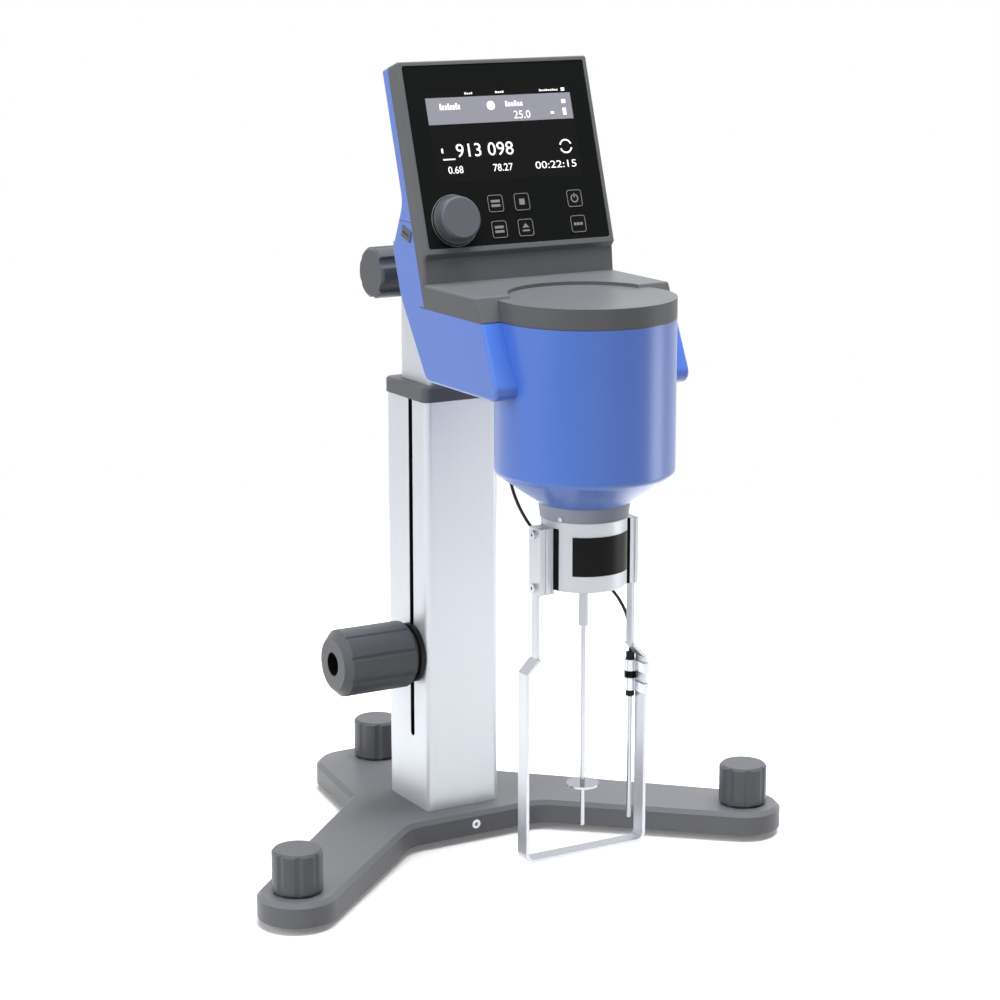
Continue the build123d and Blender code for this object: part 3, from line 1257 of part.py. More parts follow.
def clamp_screw():
    """Lobed knob moulded on the stud that pushes the pad."""
    knob = fluted_knob(
        CLAMP_KNOB_RADIUS, CLAMP_KNOB_LENGTH, CLAMP_KNOB_LOBES,
        CLAMP_FLUTE_RADIUS, CLAMP_FLUTE_DEPTH, CLAMP_KNOB_CHAMFER,
    )
    return Pos(CLAMP_KNOB_INNER_X, 0, CLAMP_Z) * Rot(0, -90, 0) * knob + clamp_stud()


# ---------------------------------------------------------------- export
def pieces():
    """Every node's name with its solid or list of identical solids."""
    shell = head_shell()
    housing, back = blue_shells(shell)
    nodes = {
        "base_casting": base_casting(),
        "outer_column": outer_column(),
        "column_collar": column_collar(),
        "column_bolts": column_bolts(),
        "rack": rack(),
        "front_socket_screw": front_screw(),
        "inner_column": inner_column(),
        "guide_shoe": guide_shoe(),
        "pinion_bushes": pinion_bushes(),
        "pinion_shaft": pinion_shaft(),
        "friction_disc": friction_disc(),
        "height_knob": height_knob(),
        "main_housing": housing,
        "back_shell": back,
        "front_cover": front_cover(shell),
        "cover_clips": cover_clips(),
        "chassis_plate": chassis_plate(),
        "head_screws": head_screws(),
        "head_bracket": head_bracket(),
        "clamp_pad": clamp_pad(),
        "clamp_screw": clamp_screw(),
        "glass_panel": glass_panel(),
        "display_module": display_module(),
        "control_board": control_board(),
        "board_pillars": board_pillars(),
        "encoder_plunger": encoder_plunger(),
        "encoder_shaft": encoder_shaft(),
        "menu_knob": menu_knob(),
        "drive_frame": drive_frame(),
        "drive_motor": drive_motor(),
        "drive_hub": drive_hub(),
        "torque_spring": torque_spring(),
        "measuring_shaft": measuring_shaft(),
        "spindle": spindle(),
        "ball_bearings": ball_bearings(),
        "bearing_housing": bearing_housing(),
        "neck_ring": neck_ring(),
        "neck_screw": neck_screw_body(),
        "label_plate": label_plate(),
        "guard_blocks": guard_blocks(),
        "guard_frame": guard_frame(),
        "guard_screws": guard_screws(),
        "sensor_probe": sensor_probe(),
        "sensor_grip": sensor_grip(),
        "sensor_clip": sensor_clip(),
        "sensor_lead": sensor_lead(),
        "sensor_plug": sensor_plug(),
        "sensor_socket": sensor_socket(),
    }
    for number, (u, v) in enumerate(key_places(), start=1):
        nodes[f"key_{number}"] = key(u, v)
    for name, (x, y) in FEET.items():
        nodes[f"foot_pad_{name}"] = foot_pad(x, y)
        nodes[f"levelling_screw_{name}"] = levelling_screw(x, y)
    return nodes


def save(name, shape):
    solids = []
    for item in shape if isinstance(shape, list) else [shape]:
        solids.extend(item.solids())
    body = Compound(children=solids) if len(solids) > 1 else solids[0]
    export_step(Pos(0, COLUMN_Y, 0) * body, f"parts/{name}.step")


if __name__ == "__main__":
    os.makedirs("parts", exist_ok=True)
    for node_name, node_shape in pieces().items():
        save(node_name, node_shape)
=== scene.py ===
import math

import bpy
from mathutils import Matrix, Vector

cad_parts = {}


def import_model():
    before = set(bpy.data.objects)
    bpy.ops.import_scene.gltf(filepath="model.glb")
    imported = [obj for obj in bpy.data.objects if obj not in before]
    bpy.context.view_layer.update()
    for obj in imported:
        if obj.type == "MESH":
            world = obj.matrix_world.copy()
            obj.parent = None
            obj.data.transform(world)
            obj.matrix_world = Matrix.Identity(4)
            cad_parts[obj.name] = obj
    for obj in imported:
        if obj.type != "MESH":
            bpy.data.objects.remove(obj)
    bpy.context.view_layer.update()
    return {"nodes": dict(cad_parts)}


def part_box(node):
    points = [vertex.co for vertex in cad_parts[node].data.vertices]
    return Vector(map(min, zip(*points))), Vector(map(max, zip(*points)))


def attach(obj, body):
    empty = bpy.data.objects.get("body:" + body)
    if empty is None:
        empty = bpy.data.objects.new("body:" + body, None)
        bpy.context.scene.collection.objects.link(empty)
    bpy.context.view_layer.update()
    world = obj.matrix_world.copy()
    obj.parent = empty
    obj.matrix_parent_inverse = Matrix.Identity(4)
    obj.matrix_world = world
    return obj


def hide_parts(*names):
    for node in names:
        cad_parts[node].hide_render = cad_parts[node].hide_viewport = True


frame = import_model()
nodes = frame["nodes"]

MM = 0.001
COLUMN_Y = 55.55 * MM          # the column's axis behind the row's origin

# ---------------------------------------------------------------- the display panel's own frame
# Across the panel is u, up it is v, both in millimetres from the middle of the glass's lower
# edge, and out is the distance in front of the glass.
PANEL_TILT = math.radians(17.58)
GLASS_THICKNESS = 1.2 * MM
PANEL_UP = Vector((0, math.sin(PANEL_TILT), math.cos(PANEL_TILT)))
PANEL_OUT = Vector((0, -math.cos(PANEL_TILT), math.sin(PANEL_TILT)))
glass_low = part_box("glass_panel")[0]
GLASS_FOOT = Vector((0, glass_low.y, glass_low.z + GLASS_THICKNESS * math.sin(PANEL_TILT)))
INK = 0.06                     # thickness of what is printed or lit on the glass
KEY_PROUD = 0.3                # how far the keys stand out of the glass


def on_glass(u, v, out=0.0):
    """A point in front of the glass, in metres."""
    return GLASS_FOOT + Vector((u * MM, 0, 0)) + PANEL_UP * (v * MM) + PANEL_OUT * (out * MM)


def glass_matrix(u, v, out=0.0):
    """Local X across the panel, local Y up it, local Z out of it."""
    turn = Matrix((Vector((1, 0, 0)), PANEL_UP, PANEL_OUT)).transposed().to_4x4()
    return Matrix.Translation(on_glass(u, v, out)) @ turn


# ---------------------------------------------------------------- materials
def linear(red, green, blue):
    """A colour from 0 to 255 as Blender's linear values."""
    linear_values = []
    for share in (red / 255, green / 255, blue / 255):
        curved = ((share + 0.055) / 1.055) ** 2.4
        linear_values.append(share / 12.92 if share <= 0.04045 else curved)
    return (*linear_values, 1.0)


PATCH_SCALE = 14.0             # patches of tone, about so many to a metre
NOISE_SPAN = (0.3, 0.7)        # the part of a noise's range that nearly all of it lies in
BUMP_DEPTH = 0.1 * MM
COAT_ROUGHNESS = 0.28
COAT_IOR = 1.6
BRUSHED_UP = (60.0, 60.0, 1.0)
BRUSHED_ROUND = (1.0, 1.0, 60.0)

PARTING_HALF = 0.35 * MM       # half the parting line between the housing and the back shell
COVER_SHADE_HALF = 0.5 * MM    # half the painted shade line under the front cover
COVER_REAR = 96.8 * MM         # where the cover's lower edge ends, ahead of the column's axis
SLOT_Y = COLUMN_Y - 6.6 * MM   # middle of the column's slot and of the height knob
SLOT_HALF = 3.0 * MM           # half the width, with the slot's walls
SLOT_DEPTH = 0.4 * MM          # under the column's face, where the painted shade inside the slot starts
# the height knob's axis, and the radius of the painted shade in its end bore
KNOB_AXIS_Z = 127.2 * MM
KNOB_BORE = 7.9 * MM
BLOCK_GAP_SHADE = (1.75 * MM, 27.75 * MM)   # middle and half width of the painted shade on the guard blocks' inner edges, next to the housing
HOUSING_GAP_SHADE_X = 24.3 * MM     # the housing has painted shade beyond this, in the gap beside the blocks
CLIP_BAND_SHARE = 0.52         # height of the clip's black band up the clip
CLIP_BAND_HALF = 2.3 * MM


def link(tree, source, target):
    tree.links.new(source, target)


def feed(tree, value, target):
    """Gives a node's input a number, or the output of another node."""
    if isinstance(value, (int, float)):
        target.default_value = value
    else:
        link(tree, value, target)


def math_node(tree, operation, *values):
    node = tree.nodes.new("ShaderNodeMath")
    node.operation = operation
    for value, target in zip(values, node.inputs):
        feed(tree, value, target)
    return node.outputs[0]


def map_range(tree, value, source=(0.0, 1.0), result=(0.0, 1.0)):
    """The value carried from one range to another, and held within it."""
    node = tree.nodes.new("ShaderNodeMapRange")
    for name, limit in zip(("From Min", "From Max", "To Min", "To Max"), (*source, *result)):
        feed(tree, limit, node.inputs[name])
    link(tree, value, node.inputs["Value"])
    return node.outputs["Result"]


def length_node(tree, vector):
    node = tree.nodes.new("ShaderNodeVectorMath")
    node.operation = "LENGTH"
    link(tree, vector, node.inputs[0])
    return node.outputs["Value"]


def place_node(tree):
    """The surface's place in the row's frame, in metres."""
    return tree.nodes.new("ShaderNodeTexCoord").outputs["Object"]


def noise_node(tree, scale, detail=2.0, stretch=None):
    """Noise over the object's own coordinates, drawn out along an axis if asked."""
    noise = tree.nodes.new("ShaderNodeTexNoise")
    noise.inputs["Scale"].default_value = scale
    noise.inputs["Detail"].default_value = detail
    source = place_node(tree)
    if stretch:
        mapping = tree.nodes.new("ShaderNodeMapping")
        mapping.inputs["Scale"].default_value = stretch
        link(tree, source, mapping.inputs["Vector"])
        source = mapping.outputs["Vector"]
    link(tree, source, noise.inputs["Vector"])
    return noise.outputs["Fac"]


def mix_colours(tree, share, first, second):
    """The first colour where the share is 0 and the second where it is 1."""
    mix = tree.nodes.new("ShaderNodeMix")
    mix.data_type = "RGBA"
    link(tree, share, mix.inputs["Factor"])
    for value, target in ((first, mix.inputs["A"]), (second, mix.inputs["B"])):
        if isinstance(value, tuple):
            target.default_value = value
        else:
            link(tree, value, target)
    return mix.outputs["Result"]


def shade(colour, factor):
    return tuple(min(1.0, value * factor) for value in colour[:3]) + (1.0,)


def finish(
    name, colour, metallic=0.0, rough=(0.4, 0.5), grain=900.0, bump=0.05,
    variation=0.04, edge=0.4, stretch=None, coat=0.0, specular=0.5,
):
    """A procedural finish: faint tone and gloss variation, a fine surface grain and soft edges."""
    material = bpy.data.materials.new(name)
    material.use_nodes = True
    tree = material.node_tree
    shader = tree.nodes["Principled BSDF"]
    shader.inputs["Metallic"].default_value = metallic
    shader.inputs["Specular IOR Level"].default_value = specular
    if coat:
        shader.inputs["Coat Weight"].default_value = coat
        shader.inputs["Coat Roughness"].default_value = COAT_ROUGHNESS
        shader.inputs["Coat IOR"].default_value = COAT_IOR
    patches = noise_node(tree, PATCH_SCALE, stretch=stretch)
    tone = mix_colours(tree, patches, shade(colour, 1 - variation), shade(colour, 1 + variation))
    link(tree, tone, shader.inputs["Base Color"])
    fine = noise_node(tree, grain, 3.0, stretch)
    link(tree, map_range(tree, fine, NOISE_SPAN, rough), shader.inputs["Roughness"])
    relief = tree.nodes.new("ShaderNodeBump")
    relief.inputs["Strength"].default_value = bump
    relief.inputs["Distance"].default_value = BUMP_DEPTH
    link(tree, fine, relief.inputs["Height"])
    if edge:
        soft = tree.nodes.new("ShaderNodeBevel")
        soft.samples = 6
        soft.inputs["Radius"].default_value = edge * MM
        link(tree, soft.outputs["Normal"], relief.inputs["Normal"])
    link(tree, relief.outputs["Normal"], shader.inputs["Normal"])
    return material


# ---------------------------------------------------------------- finishes that change with place
def axis_value(tree, axis):
    """One coordinate of the surface in the row's frame, in metres."""
    split = tree.nodes.new("ShaderNodeSeparateXYZ")
    link(tree, place_node(tree), split.inputs["Vector"])
    return split.outputs[axis]


def band(tree, value, middle, half):
    """1 within the half width of the middle, otherwise 0."""
    return math_node(tree, "COMPARE", value, middle, half)


def both(tree, first, second):
    """1 where both masks are 1."""
    return math_node(tree, "MULTIPLY", first, second)


def knob_axis_distance(tree):
    """Distance of the surface from the height knob's axis, which runs along X."""
    flat = tree.nodes.new("ShaderNodeMapping")
    flat.inputs["Location"].default_value = (0, -SLOT_Y, -KNOB_AXIS_Z)
    flat.inputs["Scale"].default_value = (0, 1, 1)
    link(tree, place_node(tree), flat.inputs["Vector"])
    return length_node(tree, flat.outputs["Vector"])


def tint_where(material, mask, colour):
    """Paints the colour over a finish where the mask is 1."""
    tree = material.node_tree
    target = tree.nodes["Principled BSDF"].inputs["Base Color"]
    under = target.links[0].from_socket
    link(tree, mix_colours(tree, mask, under, colour), target)


def blue_shell():
    """Blue moulding, dark at the parting line of its halves, with painted shade under the front
    cover.
    """
    material = finish(
        "blue_shell", linear(72, 116, 208), rough=(0.34, 0.42), bump=0.03, variation=0.03,
        coat=0.9, specular=0.2,
    )
    tree = material.node_tree
    height = axis_value(tree, "Z")
    parting = band(tree, height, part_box("main_housing")[1].z, PARTING_HALF)
    tint_where(material, parting, linear(28, 45, 90))
    # painted shade: a dark blue line under the front cover's lower edge, as far back as COVER_REAR
    shade_under_cover = band(tree, height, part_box("front_cover")[0].z, COVER_SHADE_HALF)
    ahead = math_node(tree, "LESS_THAN", axis_value(tree, "Y"), COLUMN_Y - COVER_REAR)
    tint_where(material, both(tree, shade_under_cover, ahead), linear(24, 40, 90))
    return material


def anodised(name):
    """Silver anodising, drawn upright."""
    return finish(
        name, linear(213, 217, 223), metallic=0.6, rough=(0.38, 0.46),
        grain=700, bump=0.02, variation=0.015, stretch=BRUSHED_UP,
    )


def column_with_slot_shade():
    """Silver anodising, with painted shade inside the slot of the column's side."""
    material = anodised("column_anodised")
    tree = material.node_tree
    low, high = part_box("outer_column")
    # painted shade: near-black on the slot's walls and inside it, below the column's face
    inside = band(tree, axis_value(tree, "X"), 0.0, (high.x - low.x) / 2 - SLOT_DEPTH)
    slot = band(tree, axis_value(tree, "Y"), SLOT_Y, SLOT_HALF)
    tint_where(material, both(tree, inside, slot), linear(16, 16, 18))
    return material


def knob_grey(name):
    return finish(
        name, linear(84, 86, 90), rough=(0.32, 0.44), grain=1600, bump=0.05, specular=0.3,
    )


def bored_knob():
    """Knob grey, with painted shade inside the bore of its end."""
    material = knob_grey("bored_knob_grey")
    tree = material.node_tree
    # painted shade: near-black inside the bore, within KNOB_BORE of the knob's axis
    bore_shade = band(tree, knob_axis_distance(tree), 0.0, KNOB_BORE)
    tint_where(material, bore_shade, linear(20, 20, 21))
    return material


def guard_steel(name):
    return finish(
        name, linear(196, 199, 205), metallic=0.85, rough=(0.30, 0.40), grain=700,
        bump=0.02, stretch=BRUSHED_UP,
    )


def blocks_with_gap_shade():
    """Steel blocks, with painted shade where they stand against the housing."""
    material = guard_steel("block_steel")
    tree = material.node_tree
    # painted shade: black on the blocks' inner edges, in the gap against the housing
    tint_where(material, band(tree, axis_value(tree, "X"), *BLOCK_GAP_SHADE), linear(14, 14, 15))
    return material


def housing_with_gap_shade():
    """Blasted aluminium, with painted shade in the gap beside the blocks' inner edges."""
    material = finish(
        "blasted_aluminium", linear(190, 193, 198), metallic=0.8, rough=(0.40, 0.52),
        grain=3200, bump=0.12,
    )
    tree = material.node_tree
    low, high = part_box("guard_blocks")
    # painted shade: black on the housing's sides, over the blocks' height, where they meet it
    level = band(tree, axis_value(tree, "Z"), (low.z + high.z) / 2, (high.z - low.z) / 2)
    aside = math_node(tree, "ABSOLUTE", axis_value(tree, "X"))
    beyond = math_node(tree, "GREATER_THAN", aside, HOUSING_GAP_SHADE_X)
    tint_where(material, both(tree, level, beyond), linear(14, 14, 15))
    return material


def banded_clip():
    """Bright clip with a black band round its middle."""
    material = finish(
        "clip_steel", linear(190, 193, 198), metallic=1.0, rough=(0.14, 0.22), bump=0.0,
    )
    tree = material.node_tree
    low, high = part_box("sensor_clip")
    middle = low.z + (high.z - low.z) * CLIP_BAND_SHARE
    mask = band(tree, axis_value(tree, "Z"), middle, CLIP_BAND_HALF)
    tint_where(material, mask, linear(18, 18, 19))
    return material


def lit(name, colour, strength):
    """A lit element of the display, or print with a faint painted glow, which still takes a little
    of the room's light.
    """
    material = finish(name, colour, rough=(0.4, 0.5), bump=0.0, edge=0.0, variation=0.02)
    shader = material.node_tree.nodes["Principled BSDF"]
    shader.inputs["Emission Color"].default_value = colour
    shader.inputs["Emission Strength"].default_value = strength
    return material


FINISHES = {
    "blue": blue_shell(),
    "cover": finish(
        "cover_grey", linear(91, 93, 96), rough=(0.36, 0.48), grain=2200, bump=0.10, specular=0.3,
    ),
    "base": finish(
        "base_paint", linear(104, 105, 109), rough=(0.36, 0.46), grain=1600, bump=0.10,
        specular=0.3,
    ),
    "knob": knob_grey("knob_grey"),
    "bored_knob": bored_knob(),
    "collar": finish(
        "collar_grey", linear(96, 98, 102), rough=(0.36, 0.46), grain=1800, bump=0.06, specular=0.3,
    ),
    "column": column_with_slot_shade(),
    "inner": anodised("inner_anodised"),
    "steel": finish(
        "steel", linear(172, 175, 180), metallic=1.0, rough=(0.26, 0.36), grain=900, bump=0.03,
        stretch=BRUSHED_ROUND,
    ),
    "strip": guard_steel("guard_steel"),
    "blocks": blocks_with_gap_shade(),
    "clip": banded_clip(),
    "bright": finish(
        "bright_steel", linear(200, 203, 208), metallic=1.0, rough=(0.10, 0.18), bump=0.0,
    ),
    "blasted": housing_with_gap_shade(),
    "spindle": finish(
        "spindle_steel", linear(176, 179, 185), metallic=1.0, rough=(0.16, 0.24), bump=0.0,
    ),
    "cast": finish(
        "cast_aluminium", linear(150, 153, 158), metallic=0.7, rough=(0.5, 0.62), bump=0.25,
    ),
    "black": finish(
        "black_plastic", linear(22, 22, 23), rough=(0.42, 0.52), bump=0.04, specular=0.2,
    ),
    "label": finish(
        "label_black", linear(15, 14, 15), rough=(0.3, 0.4), bump=0.02, specular=0.12,
    ),
    "neck": finish(
        "neck_grey", linear(150, 156, 168), rough=(0.36, 0.46), grain=1800, bump=0.06, specular=0.3,
    ),
    "panel": finish(
        "panel_glass", linear(25, 26, 26), rough=(0.34, 0.38), bump=0.0, variation=0.02,
        specular=0.0,
    ),
    "screen": finish(
        "screen_black", linear(14, 14, 15), rough=(0.2, 0.26), bump=0.0, specular=0.1,
    ),
    "board": finish("circuit_board", linear(24, 88, 48), rough=(0.4, 0.5)),
    "brass": finish("brass", linear(196, 160, 92), metallic=1.0, rough=(0.25, 0.35)),
    "ivory": finish("bearing_plastic", linear(224, 221, 210), rough=(0.45, 0.55)),
    "rubber": finish("rubber", linear(24, 24, 25), rough=(0.6, 0.72), bump=0.1),
    "dial": finish("dial_grey", linear(80, 84, 90), rough=(0.42, 0.52), grain=2200, bump=0.06),
}
LIT_WHITE = lit("lit_white", linear(240, 240, 240), 0.55)
LIT_GREY = lit("lit_grey", linear(132, 132, 142), 0.15)
# grey print on the keys and round the menu knob, with a faint painted glow
PRINT_GREY_GLOW = lit("print_grey_glow", linear(128, 128, 124), 0.05)

NODE_FINISH = {
    "base_casting": "base", "outer_column": "column", "inner_column": "inner",
    "column_collar": "collar", "friction_disc": "black", "height_knob": "bored_knob",
    "main_housing": "blue", "back_shell": "blue", "front_cover": "cover", "cover_clips": "cover",
    "clamp_screw": "knob", "head_bracket": "cast", "clamp_pad": "brass",
    "glass_panel": "panel", "display_module": "black", "control_board": "board",
    "board_pillars": "brass", "encoder_plunger": "ivory", "menu_knob": "dial",
    "drive_frame": "cast", "drive_motor": "black", "drive_hub": "cast", "torque_spring": "brass",
    "spindle": "spindle", "bearing_housing": "blasted", "neck_ring": "neck",
    "neck_screw": "bright", "label_plate": "label", "guard_blocks": "blocks",
    "guard_frame": "strip", "guard_screws": "bright", "front_socket_screw": "bright",
    "sensor_probe": "spindle", "sensor_grip": "black", "sensor_clip": "clip",
    "sensor_plug": "black", "guide_shoe": "ivory", "pinion_bushes": "brass",
}


def dress(node):
    """Gives a CAD node its finish by name or by kind."""
    obj = nodes[node]
    if node.startswith("key_"):
        look = "panel"
    elif node.startswith("foot_pad"):
        look = "rubber"
    elif node.startswith("levelling_screw"):
        look = "knob"
    else:
        look = NODE_FINISH.get(node, "steel")
    obj.data.materials.clear()
    obj.data.materials.append(FINISHES[look])


for node in nodes:
    dress(node)


# ---------------------------------------------------------------- small pieces on the display
def add_mesh(name, vertices, faces, material, body, slot):
    """A closed piece that rides on a body."""
    mesh = bpy.data.meshes.new(name)
    mesh.from_pydata(vertices, [], faces)
    mesh.validate()
    mesh.update()
    obj = bpy.data.objects.new(name, mesh)
    bpy.context.scene.collection.objects.link(obj)
    mesh.materials.append(material)
    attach(obj, body)


def plate(outlines, place, depth):
    """Closed flat plates with the given outlines in millimetres, thick along local Z."""
    vertices = []
    faces = []
    for outline in outlines:
        start = len(vertices)
        count = len(outline)
        for out in (0.0, depth):
            vertices += [tuple(place @ Vector((x * MM, y * MM, out * MM))) for x, y in outline]
        faces.append([start + i for i in reversed(range(count))])
        faces.append([start + count + i for i in range(count)])
        for i in range(count):
            j = (i + 1) % count
            faces.append([start + i, start + j, start + count + j, start + count + i])
    return vertices, faces


def ring_band(outer, inner, place, depth):
    """A closed flat band between two outlines of the same number of points."""
    count = len(outer)
    vertices = []
    for out in (0.0, depth):
        for outline in (outer, inner):
            vertices += [tuple(place @ Vector((x * MM, y * MM, out * MM))) for x, y in outline]
    faces = []
    for i in range(count):
        j = (i + 1) % count
        back_outer, back_inner, front_outer, front_inner = 0, count, 2 * count, 3 * count
        faces.append([back_outer + j, back_outer + i, back_inner + i, back_inner + j])
        faces.append([front_outer + i, front_outer + j, front_inner + j, front_inner + i])
        faces.append([back_outer + i, back_outer + j, front_outer + j, front_outer + i])
        faces.append([back_inner + j, back_inner + i, front_inner + i, front_inner + j])
    return vertices, faces


def rounded_square(size, radius, steps=5):
    """Outline of a square with rounded corners, about its centre."""
    points = []
    reach = size / 2 - radius
    for corner, (sx, sy) in enumerate(((1, 1), (-1, 1), (-1, -1), (1, -1))):
        for step in range(steps + 1):
            angle = math.radians(90 * corner + 90 * step / steps)
            x = sx * reach + radius * math.cos(angle)
            y = sy * reach + radius * math.sin(angle)
            points.append((x, y))
    return points


def circle(radius, steps=64):
    return [
        (radius * math.cos(2 * math.pi * i / steps), radius * math.sin(2 * math.pi * i / steps))
        for i in range(steps)
    ]


def arc_band(radius, width, start, end, steps=16):
    """Outline of a curved stroke between two angles in degrees."""
    angles = [math.radians(start + (end - start) * i / steps) for i in range(steps + 1)]
    far, near = radius + width / 2, radius - width / 2
    outer = [(far * math.cos(angle), far * math.sin(angle)) for angle in angles]
    inner = [(near * math.cos(angle), near * math.sin(angle)) for angle in angles]
    return outer + inner[::-1]


def rectangle(left, right, bottom, top):
    return [(left, bottom), (right, bottom), (right, top), (left, top)]


def number(name, text, left, right, bottom, top):
    """Plain lit digits that fill a rectangle of the screen."""
    curve = bpy.data.curves.new(name, "FONT")
    curve.body = text
    curve.resolution_u = 3         # few points to a curve, as the digits are small
    flat = bpy.data.objects.new(name + "_text", curve)
    bpy.context.scene.collection.objects.link(flat)
    bpy.context.view_layer.update()
    mesh = bpy.data.meshes.new_from_object(flat)
    bpy.data.objects.remove(flat)
    xs = [v.co.x for v in mesh.vertices]
    ys = [v.co.y for v in mesh.vertices]
    scale_x = (right - left) * MM / (max(xs) - min(xs))
    scale_y = (top - bottom) * MM / (max(ys) - min(ys))
    place = glass_matrix(left, bottom, 2 * INK)
    for vertex in mesh.vertices:
        x = (vertex.co.x - min(xs)) * scale_x
        y = (vertex.co.y - min(ys)) * scale_y
        vertex.co = place @ Vector((x, y, 0))
    obj = bpy.data.objects.new(name, mesh)
    bpy.context.scene.collection.objects.link(obj)
    mesh.materials.clear()
    mesh.materials.append(LIT_WHITE)
    solid = obj.modifiers.new("depth", "SOLIDIFY")
    solid.thickness = INK * MM
    solid.offset = -1.0            # towards the glass
    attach(obj, "head")


# What the screen shows, each as left, right, bottom and top on the glass
SCREEN = (-52.2, 52.2, 40.2, 97.6)
HEADER = (-52.2, 52.2, 77.0, 93.8)
READINGS = {
    "main": ("913 098", (-36.0, 4.8, 56.0, 64.4)),
    "left": ("0.68", (-43.5, -33.0, 46.0, 50.6)),
    "middle": ("78.27", (-11.5, 2.5, 46.0, 50.6)),
    "time": ("00:22:15", (19.0, 49.0, 46.0, 50.6)),
    "temperature": ("25.0", (9.0, 21.0, 78.6, 83.6)),
}
WORDS = [                      # and the number of strokes
    ((-43.0, -28.0, 86.0, 90.0), 8), ((4.0, 17.0, 86.5, 90.0), 6),
    ((-24.0, -18.0, 95.3, 96.5), 4), ((-2.0, 4.5, 95.3, 96.6), 4), ((30.0, 44.0, 95.3, 96.5), 9),
]
MARKS = [
    (45.0, 48.0, 87.0, 89.5), (45.0, 47.5, 79.5, 84.0), (36.0, 38.5, 80.5, 82.0),
    (46.0, 48.5, 95.0, 97.0), (-46.0, -37.5, 54.6, 55.4), (-46.4, -45.2, 59.0, 62.0),
]
STROKE_SHARE = 0.68            # width of a word's stroke, of its step
SMALL_LETTER = 0.72            # height of a small letter's stroke, of a tall one's
DOT_CENTRE = (-6.5, 87.6)
DOT_RADIUS = 2.9
TURNING_CENTRE = (43.2, 59.4)
TURNING_RADIUS = 4.1
TURNING_STROKE = 1.0

KEY_COLUMNS = (-14.0, 5.0, 43.5)
KEY_ROWS = (25.8, 9.4)
KEY_FRAME_OUTSIDE = (10.8, 1.7)        # size and corner radius
KEY_FRAME_INSIDE = (10.0, 1.3)
KNOB_CENTRE = (-44.2, 16.9)
KNOB_RING = (16.3, 15.9)       # outer and inner radius of the light ring round the menu knob


def word(area, count):
    """A row of upright strokes, one tall and two short in turn, in place of a word."""
    left, right, bottom, top = area
    step = (right - left) / count
    strokes = []
    for index in range(count):
        start = left + index * step
        height = (top - bottom) * (1.0 if index % 3 == 0 else SMALL_LETTER)
        strokes.append(rectangle(start, start + step * STROKE_SHARE, bottom, bottom + height))
    return strokes


def screen_piece(name, outlines, place, material, depth=INK):
    add_mesh("screen_" + name, *plate(outlines, place, depth), material, "head", "screen")


def screen_pieces():
    screen_piece("area", [rectangle(*SCREEN)], glass_matrix(0, 0), FINISHES["screen"], INK / 2)
    screen_piece("header", [rectangle(*HEADER)], glass_matrix(0, 0, INK / 2), LIT_GREY, INK / 2)
    for name, (text, area) in READINGS.items():
        number("reading_" + name, text, *area)
    marks = [stroke for area, count in WORDS for stroke in word(area, count)]
    marks += [rectangle(*area) for area in MARKS]
    screen_piece("marks", marks, glass_matrix(0, 0, 1.5 * INK), LIT_WHITE)
    dot_place = glass_matrix(*DOT_CENTRE, 1.5 * INK)
    screen_piece("dot", [circle(DOT_RADIUS, 32)], dot_place, LIT_WHITE)
    arcs = [arc_band(TURNING_RADIUS, TURNING_STROKE, start, start + 145) for start in (20, 200)]
    screen_piece("turning_sign", arcs, glass_matrix(*TURNING_CENTRE, INK), LIT_WHITE)


def key_signs():
    """Strokes printed on each key in millimetres, left to right and top to bottom."""
    bars = [rectangle(-3.2, 3.2, 0.6, 2.2), rectangle(-3.2, 3.2, -2.2, -0.6)]
    stop = [rectangle(-1.9, 1.9, -1.9, 1.9)]
    power = [arc_band(2.4, 0.8, 115, 425), rectangle(-0.4, 0.4, 0.4, 3.2)]
    arrow = [rectangle(-2.6, 2.6, -2.4, -1.4), [(-2.4, 0), (2.4, 0), (0, 2.8)]]
    dots = [rectangle(left, left + 1.8, -0.9, 0.9) for left in (-3.2, -0.9, 1.4)]
    return [bars, stop, power, bars, arrow, dots]


def key_pieces():
    """The grey frame and the sign printed on each key."""
    places = [(u, v) for v in KEY_ROWS for u in KEY_COLUMNS]
    outside, inside = rounded_square(*KEY_FRAME_OUTSIDE), rounded_square(*KEY_FRAME_INSIDE)
    for index, ((u, v), sign) in enumerate(zip(places, key_signs()), start=1):
        key = f"key_{index}"
        place = glass_matrix(u, v, KEY_PROUD)
        frame_band = ring_band(outside, inside, place, INK)
        add_mesh(key + "_frame", *frame_band, PRINT_GREY_GLOW, key, "key_grey")
        add_mesh(key + "_sign", *plate(sign, place, INK), PRINT_GREY_GLOW, key, "key_grey")


def dial_ring():
    """Fine light ring on the glass round the menu knob."""
    outer, inner = KNOB_RING
    ring = ring_band(circle(outer), circle(inner), glass_matrix(*KNOB_CENTRE), INK)
    add_mesh("dial_ring", *ring, PRINT_GREY_GLOW, "head", "panel_black")


screen_pieces()
key_pieces()
dial_ring()


# ---------------------------------------------------------------- the sensor's lead
LEAD_DIAMETER = 2.0 * MM
LEAD_ROUTE = [                 # from the plug to the grip, in millimetres from the column's foot
    (-14.0, -112.0, 321.5), (-14.0, -112.0, 307.0), (-17.0, -116.5, 291.0), (-22.0, -125.0, 277.0),
    (-24.0, -133.0, 263.0), (-21.5, -141.0, 249.0), (-14.5, -146.5, 236.0), (-3.0, -148.5, 225.0),
    (12.5, -148.5, 215.5), (26.5, -152.5, 206.0), (35.5, -159.5, 195.5), (39.5, -167.0, 184.0),
    (40.0, -171.6, 171.0), (40.0, -171.6, 158.5),
]


